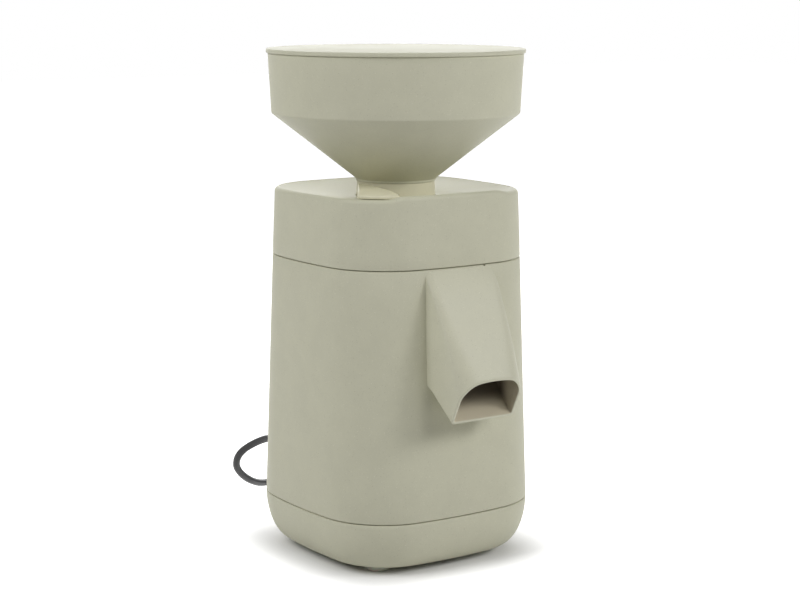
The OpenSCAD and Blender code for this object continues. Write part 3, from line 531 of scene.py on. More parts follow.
def deck_ring(h, inset, radius, share, z):
    """A ring of the deck: the rim's outline at share 0 and the neck's circle at share 1."""
    made = []
    for x, y, _ in outline(h.rim_half - inset, h.side_r - inset, h.corner_r - inset, z):
        reach = math.hypot(x, y)
        scale = mix(1.0, radius / reach, share)
        made.append((x * scale, y * scale, z))
    return made


PAN_STEPS = 14
PAN_SHRINK = 0.75             # how much of a draw the radii of the sides and the corners lose
SLOT_PITCH = 0.008
SLOT_HALF = (0.002, 0.026)    # half the width and length of an air slot
SCREW_CIRCLE = 0.058
SCREW_HOLE_R = 0.0042


def build_base_pan(h):
    """The rounded bottom shell with its air slots, screw holes and inner lip."""
    low, top = h.foot_h, h.base_seam - h.seam_gap
    edge = 0.0005
    lip = h.base_seam + 0.0045
    lip_out, lip_in = h.wall + 0.0001, h.wall + 0.0016

    def upright(inset, z):
        shrink = inset * PAN_SHRINK
        return outline(h.base_half - inset, h.side_r - shrink, h.base_corner_r - shrink, z)

    def ring(angle, inset=0.0, floor=0.0):
        z = max(top - (top - low) * math.sin(angle), floor)
        return upright(h.base_draw * (1 - math.cos(angle)) + inset, z)

    quarter = quarter_turn(PAN_STEPS)
    sections = [ring(a) for a in reversed(quarter[1:])]
    sections += [upright(0, top - edge), upright(edge * EDGE_MID, top - edge * EDGE_MID), upright(edge, top),
                 upright(lip_out, top), upright(lip_out, lip), upright(lip_in, lip)]
    sections += [ring(a, lip_in, low + h.wall) for a in quarter]
    pan = loft("base_pan_shell", sections, angle=50)
    slots, holes = [], []
    half_w, half_l = SLOT_HALF
    for i in range(-4, 5):
        x = i * SLOT_PITCH
        slots.append(block(f"slot_{i}", (x - half_w, -half_l, low - 0.001), (x + half_w, half_l, low + 0.008),
                           0.0012))
    for k in range(4):
        x, y = SCREW_CIRCLE * math.cos(k * math.pi / 2), SCREW_CIRCLE * math.sin(k * math.pi / 2)
        holes.append(rod(f"hole_{k}", (x, y, low - 0.001), (x, y, low + 0.010), SCREW_HOLE_R))
    cut(pan, join("slots", *slots), join("holes", *holes))
    hand_over(pan, "Fibre plastic", "housing", "fibre_plastic", "base_pan")


SHELL_EDGE = 0.0006    # radius of the shells' edges at the seams
SHELL_STEPS = 8


def lower_edge(ring, h, z):
    """The rings that round a shell's lower edge."""
    mid = SHELL_EDGE * EDGE_MID
    return [ring(h, z, SHELL_EDGE), ring(h, z + mid, mid), ring(h, z + SHELL_EDGE)]


def build_casing(h, s, c):
    """The tall drafted shell with its window, seam notch, gland hole and switch cut-out."""
    low, high = h.base_seam, h.head_seam - h.seam_gap / 2
    edge, mid = SHELL_EDGE, SHELL_EDGE * EDGE_MID
    sections = lower_edge(casing_ring, h, low)
    sections += [casing_ring(h, mix(low + edge, high - edge, i / SHELL_STEPS))
                 for i in range(1, SHELL_STEPS + 1)]
    sections += [casing_ring(h, high - mid, mid), casing_ring(h, high, edge),
                 casing_ring(h, high, h.wall), casing_ring(h, low, h.wall)]
    shell = loft("main_casing_shell", sections, closed=True, angle=50)
    window = block("window", (-s.window_half - 0.002, -0.1, s.window_low - 0.002),
                   (s.window_half + 0.002, -0.06, s.window_high + 0.002))
    notch = block("notch", (0.020, -0.1, high - 0.0018), (0.0213, -0.0748, high + 0.002))
    gland = rod("gland_hole", (c.gland_x, 0.06, c.gland_z), (c.gland_x, 0.1, c.gland_z), 0.007)
    switch = slab("switch_hole", c.switch_x, c.switch_z, SWITCH_HOLE, 0.06, 0.1)
    cut(shell, window, notch, gland, switch)
    hand_over(shell, "Fibre plastic", "housing", "fibre_plastic", "main_casing")


# The deck behind the rim: how far in from its round edge, how far down, and the share of the front step left.
DECK_EDGE = [(0.0003, 0.0001, 0.85), (0.0013, 0.0002, 0.15), (0.0016, 0.0003, 0), (0.0035, 0.0005, 0),
             (0.0055, 0.0009, 0), (0.0085, 0.0013, 0)]
DECK_SHARES = (0.12, 0.25, 0.5, 0.75, 0.97)    # where the rings of its dish lie, from rim to neck
DECK_T = 0.0026


def build_head(h, p):
    """The upper shell: soft rim with its front step, dished deck and neck hole."""
    low = h.head_seam + h.seam_gap / 2
    round_z = h.rim_z - h.rim_edge
    hole = p.neck_r + 0.0007
    sections = lower_edge(head_ring, h, low)
    sections += [head_ring(h, mix(low + SHELL_EDGE, round_z - 0.006, i / 4)) for i in range(1, 5)]
    for a in quarter_turn(SHELL_STEPS):
        ring = head_ring(h, round_z + h.rim_edge * math.sin(a), h.rim_edge * (1 - math.cos(a)))
        sections.append(raised(h, ring, 1))
    for inward, down, lift in DECK_EDGE:
        sections.append(raised(h, deck_ring(h, h.rim_edge + inward, hole, 0, h.rim_z - down), lift))
    slope_in, slope_top = h.rim_edge + DECK_EDGE[-1][0], h.rim_z - DECK_EDGE[-1][1]
    for share in DECK_SHARES:
        sections.append(deck_ring(h, slope_in, hole, share, mix(slope_top, h.deck_z, share)))
    lip, lip_out = low - 0.0036, h.wall + 0.0017
    sections += [deck_ring(h, 0, hole, 1, h.deck_z - 0.0002),
                 deck_ring(h, 0, hole, 1, h.deck_z - DECK_T),
                 deck_ring(h, slope_in, hole, 0.5, mix(h.deck_z, slope_top, 0.5) - DECK_T),
                 deck_ring(h, slope_in - 0.004, hole, 0, slope_top - DECK_T),
                 head_ring(h, round_z - DECK_T - 0.001, h.wall),
                 head_ring(h, low, lip_out), head_ring(h, lip, lip_out),
                 head_ring(h, lip, h.wall + 0.0001), head_ring(h, low, h.wall + 0.0001)]
    head = loft("head_casing_shell", sections, closed=True, angle=50)
    hand_over(head, "Fibre plastic", "housing", "fibre_plastic", "head_casing")


# ---- Spout ----

ARC_STEPS = 8
TOP_STEPS = 8
SPOUT_RUN = 8
ROOT_LOW, ROOT_HIGH = -0.0805, -0.0780      # where the root's lower and upper edges stand
SUNK = 0.0002                               # how deep the spout sits in the casing's face
SKIN_RUN = 0.03                             # the length that the whole of t stands for at the rounded lip
COLLAR_FACE, COLLAR_WALL = 0.0739, 0.0018   # where the collar ends inside the casing, and its wall


def spout_arc(cx, cy, radius, quadrant):
    """A quarter arc of a section's corner."""
    return [(cx + radius * math.cos(math.pi / 2 * (quadrant + i / ARC_STEPS)),
             cy + radius * math.sin(math.pi / 2 * (quadrant + i / ARC_STEPS))) for i in range(ARC_STEPS + 1)]


def arch(width, tall, top_r, low_r, inset, crown=0.0):
    """A section of the spout: upright box with large upper corners and a crowned top, drawn in by inset."""
    shape = (spout_arc(width - low_r, low_r, low_r - inset, -1)
             + spout_arc(width - top_r, tall - top_r, top_r - inset, 0)
             + [((width - top_r) * (1 - 2 * i / TOP_STEPS), tall - inset) for i in range(1, TOP_STEPS)]
             + spout_arc(top_r - width, tall - top_r, top_r - inset, 1)
             + spout_arc(low_r - width, low_r, low_r - inset, 2))
    return [(x, y - crown * (x / width) ** 2 * max(0.0, min(1.0, 2 * y / tall - 0.6))) for x, y in shape]


def spout_ends(s, t):
    """The lower and upper edge (reach, height) of the spout's section from root (t = 0) to mouth (t = 1)."""
    return (mix(Vector((ROOT_LOW, s.root_low)), Vector((-s.low_reach, s.mouth_low)), t),
            mix(Vector((ROOT_HIGH, s.root_high)), Vector((-s.high_reach, s.mouth_high)), t))


def spout_section(s, low, high, t, inset):
    """A section of the spout between two edges, drawn in by inset."""
    up = (high - low).normalized()
    section = arch(mix(s.root_half, s.mouth_half, t), (high - low).length, mix(0.004, 0.014, t), 0.0032,
                   inset, s.crown * t ** 3)
    return [(x, *(low + up * y)) for x, y in section]


def spout_ring(s, t, inset=0.0):
    """The spout's outer section, drawn in by inset."""
    low, high = spout_ends(s, t)
    return spout_section(s, low, high, t, inset)


CHANNEL_LOW = Vector((-0.0839, 0.1312))
CHANNEL_HIGH = Vector((-0.0814, 0.1998))


def channel_ring(s, t):
    """The channel's section from the back plate (t = 0) to the mouth (t = 1)."""
    low, high = spout_ends(s, 1)
    up = (high - low).normalized() * s.wall
    low, high = mix(CHANNEL_LOW, low + up, t), mix(CHANNEL_HIGH, high - up, t)
    up = (high - low).normalized() * s.wall
    return spout_section(s, low - up, high + up, t, s.wall)


def plate_face(z):
    """How far forwards the back plate's face stands at a height."""
    return mix(CHANNEL_LOW.x, CHANNEL_HIGH.x, (z - CHANNEL_LOW.y) / (CHANNEL_HIGH.y - CHANNEL_LOW.y))


def on_casing(h, ring):
    """Lays a ring on the front of the casing."""
    return [(x, -casing_face(h, x, z) + SUNK, z) for x, _, z in ring]


def build_spout(h, s):
    """The hood: outer skin, rounded mouth, inner channel, back plate and collar through the casing."""
    outer = [spout_ring(s, i / SPOUT_RUN) for i in range(1, SPOUT_RUN)]
    lip = 0.0006
    mid = lip * EDGE_MID
    before_mid, before_lip = 1 - mid / SKIN_RUN, 1 - lip / SKIN_RUN
    mouth = [spout_ring(s, before_lip), spout_ring(s, before_mid, mid), spout_ring(s, 1, lip),
             spout_ring(s, 1, s.wall - lip), spout_ring(s, before_mid, s.wall - mid),
             channel_ring(s, before_lip)]
    inner = [channel_ring(s, i / SPOUT_RUN) for i in range(SPOUT_RUN - 1, -1, -1)]
    middle = mix(s.window_low, s.window_high, 0.5)
    tall = s.window_high - s.window_low

    def window(grow):
        return [(x, -COLLAR_FACE, middle - tall / 2 - grow + z)
                for x, z in arch(s.window_half + grow, tall + 2 * grow, 0.002, 0.002, 0)]

    passage, collar = window(0), window(COLLAR_WALL)
    plate = [(x, plate_face(z), z) for x, _, z in passage]
    sections = [on_casing(h, spout_ring(s, 0)), *outer, *mouth, *inner, plate, passage, collar,
                on_casing(h, collar)]
    hood = loft("flour_spout_hood", sections, closed=True, angle=35)
    hand_over(hood, "Spout plastic", "housing", "fibre_plastic", "outlet_spout")
    hood.data.materials.append(finishes()["Spout lining"])
    # The inner rings take the spout lining, which carries painted shade deeper in.
    first = len(outer) + len(mouth) - 1
    last = len(sections) - 2
    rings = [value.value for value in hood.data.attributes["ring"].data]
    for face in hood.data.polygons:
        face.material_index = int(all(first <= rings[v] <= last for v in face.vertices))


# ---- Hopper, lid, neck and lever ----

def build_hopper(p):
    """The round hopper: drafted wall, straight cone, soft shoulder and spigot."""
    w = p.wall
    spigot_r, throat_r, spigot_z = 0.0239, 0.0210, 0.2565
    rest_z = p.cone_z - 0.0002
    profile = [(throat_r, spigot_z), (spigot_r, spigot_z), (spigot_r, rest_z),
               (p.neck_r + 0.0004, rest_z), (p.neck_r + 0.0006, p.cone_z + 0.0013),
               (p.shoulder_r, p.shoulder_z), (p.mouth_r, p.top_z), (p.mouth_r - w, p.top_z),
               (p.shoulder_r - w, p.shoulder_z + 0.0012), (throat_r, p.cone_z + 0.0026)]
    radii = [0.0004, 0.0004, 0, 0.0002, 0.0003, 0.0022, 0.0006, 0.0006, 0.0040, 0.0020]
    hopper = revolve("hopper_bowl", rounded(profile, radii), closed=True)
    hand_over(hopper, "Fibre plastic", "hopper", "fibre_plastic", "grain_hopper")


def build_lid(p):
    """The flat lid with its soft rim and centring ring."""
    low = p.top_z + 0.00005
    ring_r, ring_z = p.mouth_r - p.wall - 0.0005, low - 0.0049
    ring_in = ring_r - 0.002
    tiny = 0.0004
    profile = [(tiny, low), (ring_in, low), (ring_in, ring_z), (ring_r, ring_z), (ring_r, low),
               (p.lid_r, low), (p.lid_r, low + p.lid_t), (tiny, low + p.lid_t)]
    radii = [0, 0.0003, 0.0004, 0.0004, 0.0003, 0.0006, 0.0010, 0]
    lid = revolve("lid_disc", rounded(profile, radii))
    hand_over(lid, "Fibre plastic", "lid", "fibre_plastic", "hopper_lid")


def build_neck(p):
    """The grinding ring: its neck shows under the hopper, its flange lies under the deck."""
    low, high = 0.2411, p.cone_z - 0.0003
    step = low + 0.003
    bore, flange = 0.02406, p.neck_r + 0.008
    profile = [(bore, low), (flange, low), (flange, step), (p.neck_r, step), (p.neck_r, high), (bore, high)]
    radii = [0.0002, 0.0004, 0.0004, 0.0004, 0.0005, 0.0003]
    ring = revolve("neck_ring", rounded(profile, radii), closed=True)
    # The ring's plastic is the fibre plastic made lighter, as painted light under the hopper's shade.
    hand_over(ring, "Ring plastic", "adjuster", "fibre_plastic", "grinding_ring")


# The lever's outline seen from above: its curved side and the corners of its straight one.
LEVER_SIDE = [(0.0230, -0.0154), (0.0348, -0.0077), (0.0445, -0.0007), (0.0545, 0.0049), (0.0665, 0.0103),
              (0.0780, 0.0152)]
LEVER_FAR = [(0.0791, -0.0144), (0.0553, -0.0182), (0.0287, -0.0225), (0.0171, -0.0244), (0.0099, -0.0249)]
LEVER_MIDDLE = Vector((0.050, -0.009))
TIP_STEPS = 14
TIP_CORNER = 0.0050
LEVER_THIN = 0.28                     # the share of its thickness that the lever loses towards its end
THIN_FROM, THIN_RUN = 0.030, 0.055    # how far out it starts to thin, and over what length
EDGE_FROM = 0.35                      # where the upper edge starts to round, as a share of the thickness


def polar(radius, angle):
    """A point at a distance and an angle from the axis."""
    return Vector((math.cos(angle), math.sin(angle))) * radius


def bearing(point):
    """The angle of a point, seen from the axis."""
    return math.atan2(point[1], point[0])


def lever_plan(p):
    """The lever seen from above: a curved side, a round end, a straight side and the neck's curve."""
    side = through([Vector(q) for q in LEVER_SIDE], 3)
    far = [Vector(q) for q in LEVER_FAR]
    start, end = bearing(side[-1]) + 0.012, bearing(far[0])
    tip = [polar(p.lever_reach, mix(start, end, i / TIP_STEPS)) for i in range(TIP_STEPS + 1)]
    low, high = bearing(far[-1]), bearing(side[0])
    root = [polar(p.neck_r - 0.0008, mix(low, high, i / 4)) for i in range(5)]
    plan = side[1:-1] + tip + far[1:-1] + root
    radii = [0] * len(plan)
    radii[len(side) - 2] = TIP_CORNER
    radii[len(side) - 2 + TIP_STEPS] = TIP_CORNER
    return rounded(plan, radii, 6)


def build_lever(h, p):
    """The thumb lever: a swept blade that thins towards its soft round end."""
    low = h.rim_z + 0.0001
    shape = lever_plan(p)
    turn = Matrix.Rotation(p.lever_az, 2)

    def ring(inset, share):
        made = []
        for point in shape:
            away = Vector(point) - LEVER_MIDDLE
            drawn = turn @ (LEVER_MIDDLE + away * (1 - inset / away.length))
            thin = 1 - LEVER_THIN * smooth_step((Vector(point).length - THIN_FROM) / THIN_RUN)
            made.append((drawn.x, drawn.y, low + p.lever_t * share * thin))
        return made

    edge = 0.0022
    sections = [ring(0.0003, 0), ring(0, 0.08), ring(0, EDGE_FROM)]
    for a in quarter_turn(EDGE_STEPS)[1:]:
        sections.append(ring(edge * (1 - math.cos(a)), EDGE_FROM + (1 - EDGE_FROM) * math.sin(a)))
    sections += [ring(0.005, 1.0), ring(0.008, 1.0)]
    lever = loft("lever_blade", sections, angle=50)
    # The lever's plastic is the fibre plastic made lighter, as painted light under the hopper's shade.
    hand_over(lever, "Lever plastic", "adjuster", "fibre_plastic", "thumb_lever")


def build_feet(h):
    """Four rubber feet: one is turned, and copied to the corners."""
    r, tall = h.foot_d / 2, h.foot_h
    tiny, stud, top = 0.0003, 0.003, h.foot_h + 0.005
    profile = [(tiny, 0), (r, 0), (r, tall), (stud, tall), (stud, top), (tiny, top)]
    first = revolve("foot_set", rounded(profile, [0, 0.0012, 0.0006, 0, 0.0005, 0]), steps=48, angle=35)
    copies = []
    for sx in (-1, 1):
        for sy in (-1, 1):
            foot = first.copy()
            foot.data = first.data.copy()
            bpy.context.collection.objects.link(foot)
            foot.data.transform(Matrix.Translation((sx * h.foot_pos, sy * h.foot_pos, 0)))
            copies.append(foot)
    bpy.data.objects.remove(first)
    feet = join("foot_set", *copies)
    hand_over(feet, "Foot rubber", "housing", "foot_rubber", "rubber_feet")


# ---- Cord, gland, plug and switch ----

# The flex's way from the strain relief, out to the left and down to the table, in millimetres.
ROUTE_MM = [
    (-32, 118.5, 57), (-32.6, 126, 56), (-34.6, 133, 53.2), (-37.6, 139.3, 49.6), (-41.2, 144.6, 45.4),
    (-43.8, 148.7, 40.6), (-44.4, 152.2, 35), (-42.6, 155.4, 29.2), (-38.2, 158.6, 23.6), (-32, 162.2, 18.3),
    (-24.6, 166.6, 13.5), (-16.2, 172, 9.3), (-7.5, 178, 6.1), (1.6, 184.2, 4), (11, 190.3, 3),
    (20.5, 195.9, 2.85), (30.5, 200.8, 2.85), (40.5, 204.6, 2.85), (49.5, 206.8, 2.85), (58, 207.4, 2.85)]
FLOOR_R = 0.00285    # height of the flex's middle on the table
RUN_STEPS = 5
TURN_STEP = 7.5      # degrees from one point of the coil to the next


def through(points, steps):
    """A smooth line through points, with a few steps between each pair."""
    made = []
    last = len(points) - 1
    for i in range(last):
        a, b = points[max(i - 1, 0)], points[i]
        c, d = points[i + 1], points[min(i + 2, last)]
        for k in range(steps):
            t = k / steps
            made.append(0.5 * (2 * b + (c - a) * t + (2 * a - 5 * b + 4 * c - d) * t ** 2
                               + (3 * b - a - 3 * c + d) * t ** 3))
    return made + [points[last]]


def coil_line(c):
    """The coil: in along the floor, up a layer half way, and out again on top."""
    sweep = 360 * c.coil_turns
    outer = c.coil_mean + c.turn_pitch * c.coil_turns / 4
    line = []
    for i in range(1, round(sweep / TURN_STEP) + 1):
        t = i * TURN_STEP
        r = outer - c.turn_pitch * min(t, sweep - t) / 360
        z = FLOOR_R + c.turn_pitch * smooth_step((t - sweep / 2 + 90) / 180)
        a = math.radians(90 - t)
        line.append(Vector((c.coil_x + r * math.cos(a), c.coil_y + r * math.sin(a), z)))
    return line


def cord_line(c):
    """The whole cord from the strain relief to the plug."""
    run = through([Vector(p) * 0.001 for p in ROUTE_MM], RUN_STEPS)
    coil = coil_line(c)
    end = coil[-1]
    tail = [end] + [Vector((end.x, end.y - back, z)) for back, z in (
        (0.008, end.z), (0.018, end.z - 0.0014), (0.027, c.plug_t / 2), (0.033, c.plug_t / 2))]
    return run + coil + through(tail, 3)[1:]


def line_length(points):
    """Length along a line of points."""
    return sum((b - a).length for a, b in zip(points, points[1:]))


PLUG_L, GRIP_L = 0.035, 0.020
PLUG_STEPS = 64
ROUND, SQUARE = 2.0, 5.0      # powers of the plug's round sleeve and of its squarer face
PIN_OFF, PIN_R, PIN_L = 0.0093, 0.002, 0.0185    # a pin's place across, radius and length
SLEEVE_L, SLEEVE_IN = 0.0095, 0.001              # a sleeve's length outside and inside the plug


def build_plug(c, end):
    """The flat two-pin plug: waisted grip, rounded edges and sleeved pins."""
    face = end.y - PLUG_L
    half, tall = c.plug_w / 2, c.plug_t / 2
    stations = [(0.0, 0.0036, 0.0036), (0.0010, 0.0048, 0.0046), (0.0055, 0.0056, 0.0050),
                (0.0100, 0.0075, 0.0056), (0.0150, 0.0118, 0.0061), (0.0200, half - 0.0018, tall - 0.0002),
                (0.0250, half - 0.0002, tall), (0.0335, half, tall), (0.0345, half - 0.0004, tall - 0.0004),
                (PLUG_L, half - 0.0014, tall - 0.0014)]
    sections = []
    for back, wide, high in stations:
        square = 2 / mix(ROUND, SQUARE, min(1.0, back / GRIP_L))
        ring = []
        for i in range(PLUG_STEPS):
            a = math.tau * i / PLUG_STEPS
            across, up = (math.copysign(abs(v) ** square, v) for v in (math.cos(a), math.sin(a)))
            ring.append((end.x + wide * across, end.y - back, tall + high * up))
        sections.append(ring)
    plug = loft("plug_body", sections)
    hand_over(plug, "Black plastic", "housing", "black_plastic", "mains_plug")
    pins = []
    for side in (-1, 1):
        x = end.x + side * PIN_OFF
        for name, start, stop, radius in (("pin", 0.009, -PIN_L, PIN_R),
                                          ("tip", -PIN_L, -PIN_L - 0.0005, 0.0016),
                                          ("sleeve", SLEEVE_IN, -SLEEVE_L, PIN_R + 0.00002)):
            pins.append(rod(f"{name}_{side}", (x, face + start, tall), (x, face + stop, tall), radius))
    prongs = join("plug_prongs", *pins)
    hand_over(prongs, "Nickel", "housing", "nickel", "plug_pins")
    prongs.data.materials.append(finishes()["Black plastic"])
    for part in prongs.data.polygons:
        spot = part.center
        off = math.hypot(abs(spot.x - end.x) - PIN_OFF, spot.z - tall)
        if -SLEEVE_L - 0.0001 < spot.y - face < SLEEVE_IN + 0.0001 and off > PIN_R - 0.00001:
            part.material_index = 1
    return plug, prongs


def build_gland(h, c):
    """The tapered strain relief with its flange and grooves, turned about its own axis."""
    face = casing_face(h, c.gland_x, c.gland_z)
    end = c.gland_end
    tiny, stem_r, flange_r, groove = 0.0004, 0.0069, 0.0086, 0.0011
    tip = c.diameter / 2 + 0.0009
    profile = [(tiny, face - 0.014), (stem_r, face - 0.014), (stem_r, face + 0.0001),
               (flange_r, face + 0.0001), (flange_r, face + 0.0020), (0.0056, face + 0.0032)]
    radii = [0, 0.0005, 0, 0.0003, 0.0007, 0.0008]
    grooves = 5
    run = (end - face - 0.0072) / grooves
    for k in range(grooves):
        at = face + 0.0062 + run * k
        r = mix(0.0055, tip, (at - face) / (end - face))
        profile += [(r, at), (r - groove, at + 0.0003), (r - groove, at + 0.0019), (r, at + 0.0022)]
        radii += [0.0002, 0.0001, 0.0001, 0.0002]
    profile += [(tip, end), (tiny, end)]
    radii += [0.0006, 0]
    boot = revolve("gland_boot", rounded(profile, radii, 2), steps=40, angle=35)
    lie = Matrix.Rotation(math.radians(-90), 4, "X")
    boot.data.transform(Matrix.Translation((c.gland_x, 0, c.gland_z)) @ lie)
    hand_over(boot, "Boot rubber", "housing", "black_rubber", "cord_gland")
    return boot


def build_cord(h, c):
    """The flex on its real route, with its strain relief, plug and prongs."""
    line = cord_line(c)
    data = bpy.data.curves.new("mains_flex", "CURVE")
    data.dimensions = "3D"
    data.bevel_depth = c.diameter / 2
    data.bevel_resolution = 4
    data.use_fill_caps = True
    spline = data.splines.new("POLY")
    spline.points.add(len(line) - 1)
    for point, at in zip(spline.points, line):
        point.co = (*at, 1.0)
    spline.use_smooth = True
    cord = bpy.data.objects.new("mains_flex", data)
    bpy.context.collection.objects.link(cord)
    hand_over(cord, "Flex skin", "housing", "cord_black", "power_cord", "cord_coil")
    boot = build_gland(h, c)
    plug, prongs = build_plug(c, line[-1])
    tuple(line[0])
    round(line_length(line), 3)


# Half the width and height of the switch's parts and of its hole in the casing.
SWITCH_HOLE = (0.011, 0.015)
SWITCH_RIM = (0.0126, 0.0166)
SWITCH_BODY = (0.0109, 0.0149)
SWITCH_WELL = (0.009, 0.0134)
# The rocker's side as (depth, height), its corners' radii, its tilt, and the place and draw of its ends.
ROCKER = [(-0.006, -0.006), (0.0034, -0.0121), (0.0052, -0.0119), (0.0034, 0.0), (0.0052, 0.0119),
          (0.0034, 0.0121), (-0.006, 0.006)]
ROCKER_RADII = [0, 0.0006, 0.0005, 0.0100, 0.0005, 0.0006, 0]
ROCKER_TILT = math.radians(9)
ROCKER_ENDS = [(-0.0087, 0.04), (-0.0083, 0.0), (0.0083, 0.0), (0.0087, 0.04)]


def build_switch(h, c):
    """The rocker switch on the back: frame, rocker and two plain marks."""
    x, z = c.switch_x, c.switch_z
    face = casing_face(h, x, z)
    rim = slab("switch_rim", x, z, SWITCH_RIM, face - 0.0005, face + 0.0016, 0.0008)
    body = slab("switch_body", x, z, SWITCH_BODY, face - 0.020, face - 0.0004)
    switch = join("switch_frame", rim, body)
    cut(switch, slab("well", x, z, SWITCH_WELL, face - 0.013, face + 0.007, 0.0004))
    hand_over(switch, "Black plastic", "housing", "black_plastic", "power_switch")
    pivot = Vector((x, face - 0.0035, z))
    shape = rounded(ROCKER, ROCKER_RADII, 5)
    tilt = Matrix.Rotation(ROCKER_TILT, 4, "X")
    sections = [[pivot + tilt @ Vector((across, y * (1 - draw), w * (1 - draw))) for y, w in shape]
                for across, draw in ROCKER_ENDS]
    rocker = loft("rocker_key", sections, angle=30)
    on_rocker = Matrix.Translation(pivot) @ tilt
    bar = block("bar", (-0.0022, 0.0036, 0.0066), (0.0022, 0.0049, 0.0073))
    bar.data.transform(on_rocker)
    fresh()
    bpy.ops.mesh.primitive_torus_add(major_radius=0.0022, minor_radius=0.00035, major_segments=32,
                                     minor_segments=8)
    ring = bpy.context.object
    ring.data.transform(on_rocker @ Matrix.Translation((0, 0.0042, -0.0066))
                        @ Matrix.Rotation(math.pi / 2 - 0.11, 4, "X"))
    marked = len(rocker.data.polygons)
    join("rocker_key", rocker, bar, ring)
    hand_over(rocker, "Black plastic", "rocker", "black_plastic", "switch_rocker")
    rocker.data.materials.append(finishes()["Switch mark"])
    for part in rocker.data.polygons:
        part.material_index = int(part.index >= marked)


# ---- Materials ----

def new_group(name, inputs, outputs):
    """An empty shader node group with named sockets."""
    group = bpy.data.node_groups.new(name, "ShaderNodeTree")
    for label, kind, value in inputs:
        socket = group.interface.new_socket(label, in_out="INPUT", socket_type=kind)
        if value is not None:
            socket.default_value = value
    for label, kind in outputs:
        group.interface.new_socket(label, in_out="OUTPUT", socket_type=kind)
    return group, group.nodes.new("NodeGroupInput"), group.nodes.new("NodeGroupOutput")


class Graph:
    """Adds nodes to a tree and links them in one call each."""

    def __init__(self, tree):
        self.tree = tree

    def feed(self, node, links):
        """Links each named socket of a node to a source, or gives it a value."""
        for socket, source in dict(links).items():
            target = node.inputs[socket]
            if isinstance(source, bpy.types.NodeSocket):
                self.tree.links.new(source, target)
            else:
                target.default_value = source

    def add(self, kind, links=(), **values):
        """A new node with its settings, its links and its values."""
        node = self.tree.nodes.new(kind)
        for key, value in values.items():
            setattr(node, key, value)
        self.feed(node, links)
        return node

    def math(self, operation, a, b=0.0):
        """The result of an operation on one or two values."""
        return self.add("ShaderNodeMath", {0: a, 1: b}, operation=operation).outputs[0]

    def ramp(self, value, low, high, to_low=0.0, to_high=1.0):
        """A soft change from to_low at low to to_high at high."""
        links = {"Value": value, "From Min": low, "From Max": high, "To Min": to_low, "To Max": to_high}
        return self.add("ShaderNodeMapRange", links, interpolation_type="SMOOTHSTEP").outputs[0]

    def blend(self, share, a, b):
        """The colour between a and b."""
        return self.add("ShaderNodeMix", {"Factor": share, 6: a, 7: b}, data_type="RGBA").outputs[2]

    def bump(self, height, strength, distance):
        """The normal of a bumpy surface."""
        links = {"Height": height, "Strength": strength, "Distance": distance}
        return self.add("ShaderNodeBump", links).outputs[0]

    def seen(self):
        """1 for what the camera sees, straight, mirrored or through glass."""
        path = self.add("ShaderNodeLightPath").outputs
        direct = self.math("MAXIMUM", path["Is Camera Ray"], path["Is Transmission Ray"])
        return self.math("MAXIMUM", direct, path["Is Glossy Ray"])


# How each layer of husk fibres is turned and stretched, and its scale.
FIBRES = [((0.5, 0.3, 0.9), (1, 4.5, 4.5), 260.0), ((1.2, 0.7, 0.1), (4.5, 1, 4.5), 300.0),
          ((0.2, 1.1, 0.6), (4.5, 4.5, 1), 280.0)]


def fleck_group():
    """Husk flecks: short fibres in three directions, fine specks and a slow mottle."""
    group, entry, end = new_group(
        "Husk Flecks",
        [("Vector", "NodeSocketVector", None), ("Amount", "NodeSocketFloat", 1.0)],
        [("Dark", "NodeSocketFloat"), ("Pale", "NodeSocketFloat"), ("Mottle", "NodeSocketFloat"),
         ("Height", "NodeSocketFloat")])
    g = Graph(group)
    vector, amount = entry.outputs["Vector"], entry.outputs["Amount"]
    streaks = []
    for turn, stretch, size in FIBRES:
        mapped = g.add("ShaderNodeMapping", {"Vector": vector, "Rotation": turn, "Scale": stretch})
        cells = g.add("ShaderNodeTexVoronoi", {"Vector": mapped.outputs[0], "Scale": size}).outputs
        thin = g.ramp(cells["Distance"], 0.10, 0.20, 1.0, 0.0)
        tone = g.add("ShaderNodeSeparateColor", {"Color": cells["Color"]}).outputs
        streaks.append((g.math("MULTIPLY", thin, g.ramp(tone[0], 0.80, 0.84)),
                        g.math("MULTIPLY", thin, g.ramp(tone[1], 0.72, 0.76))))
    specks = g.add("ShaderNodeTexVoronoi", {"Vector": vector, "Scale": 620.0}).outputs
    dot = g.ramp(specks["Distance"], 0.12, 0.24, 1.0, 0.0)
    tone = g.add("ShaderNodeSeparateColor", {"Color": specks["Color"]}).outputs
    dark = g.math("MULTIPLY", dot, g.ramp(tone[0], 0.72, 0.78))
    pale = g.math("MULTIPLY", dot, g.ramp(tone[1], 0.80, 0.86))
    for dark_streak, pale_streak in streaks:
        dark = g.math("MAXIMUM", dark, dark_streak)
        pale = g.math("MAXIMUM", pale, pale_streak)
    slow = g.add("ShaderNodeTexNoise", {"Vector": vector, "Scale": 55.0, "Detail": 4.0, "Roughness": 0.6})
    fine = g.add("ShaderNodeTexNoise", {"Vector": vector, "Scale": 1400.0, "Detail": 2.0})
    height = g.math("ADD", g.math("MULTIPLY", fine.outputs["Fac"], 0.5), g.math("MULTIPLY", dark, -0.4))
    g.feed(end, {"Dark": g.math("MULTIPLY", dark, amount), "Pale": g.math("MULTIPLY", pale, amount),
                 "Mottle": slow.outputs["Fac"], "Height": height})
    return group


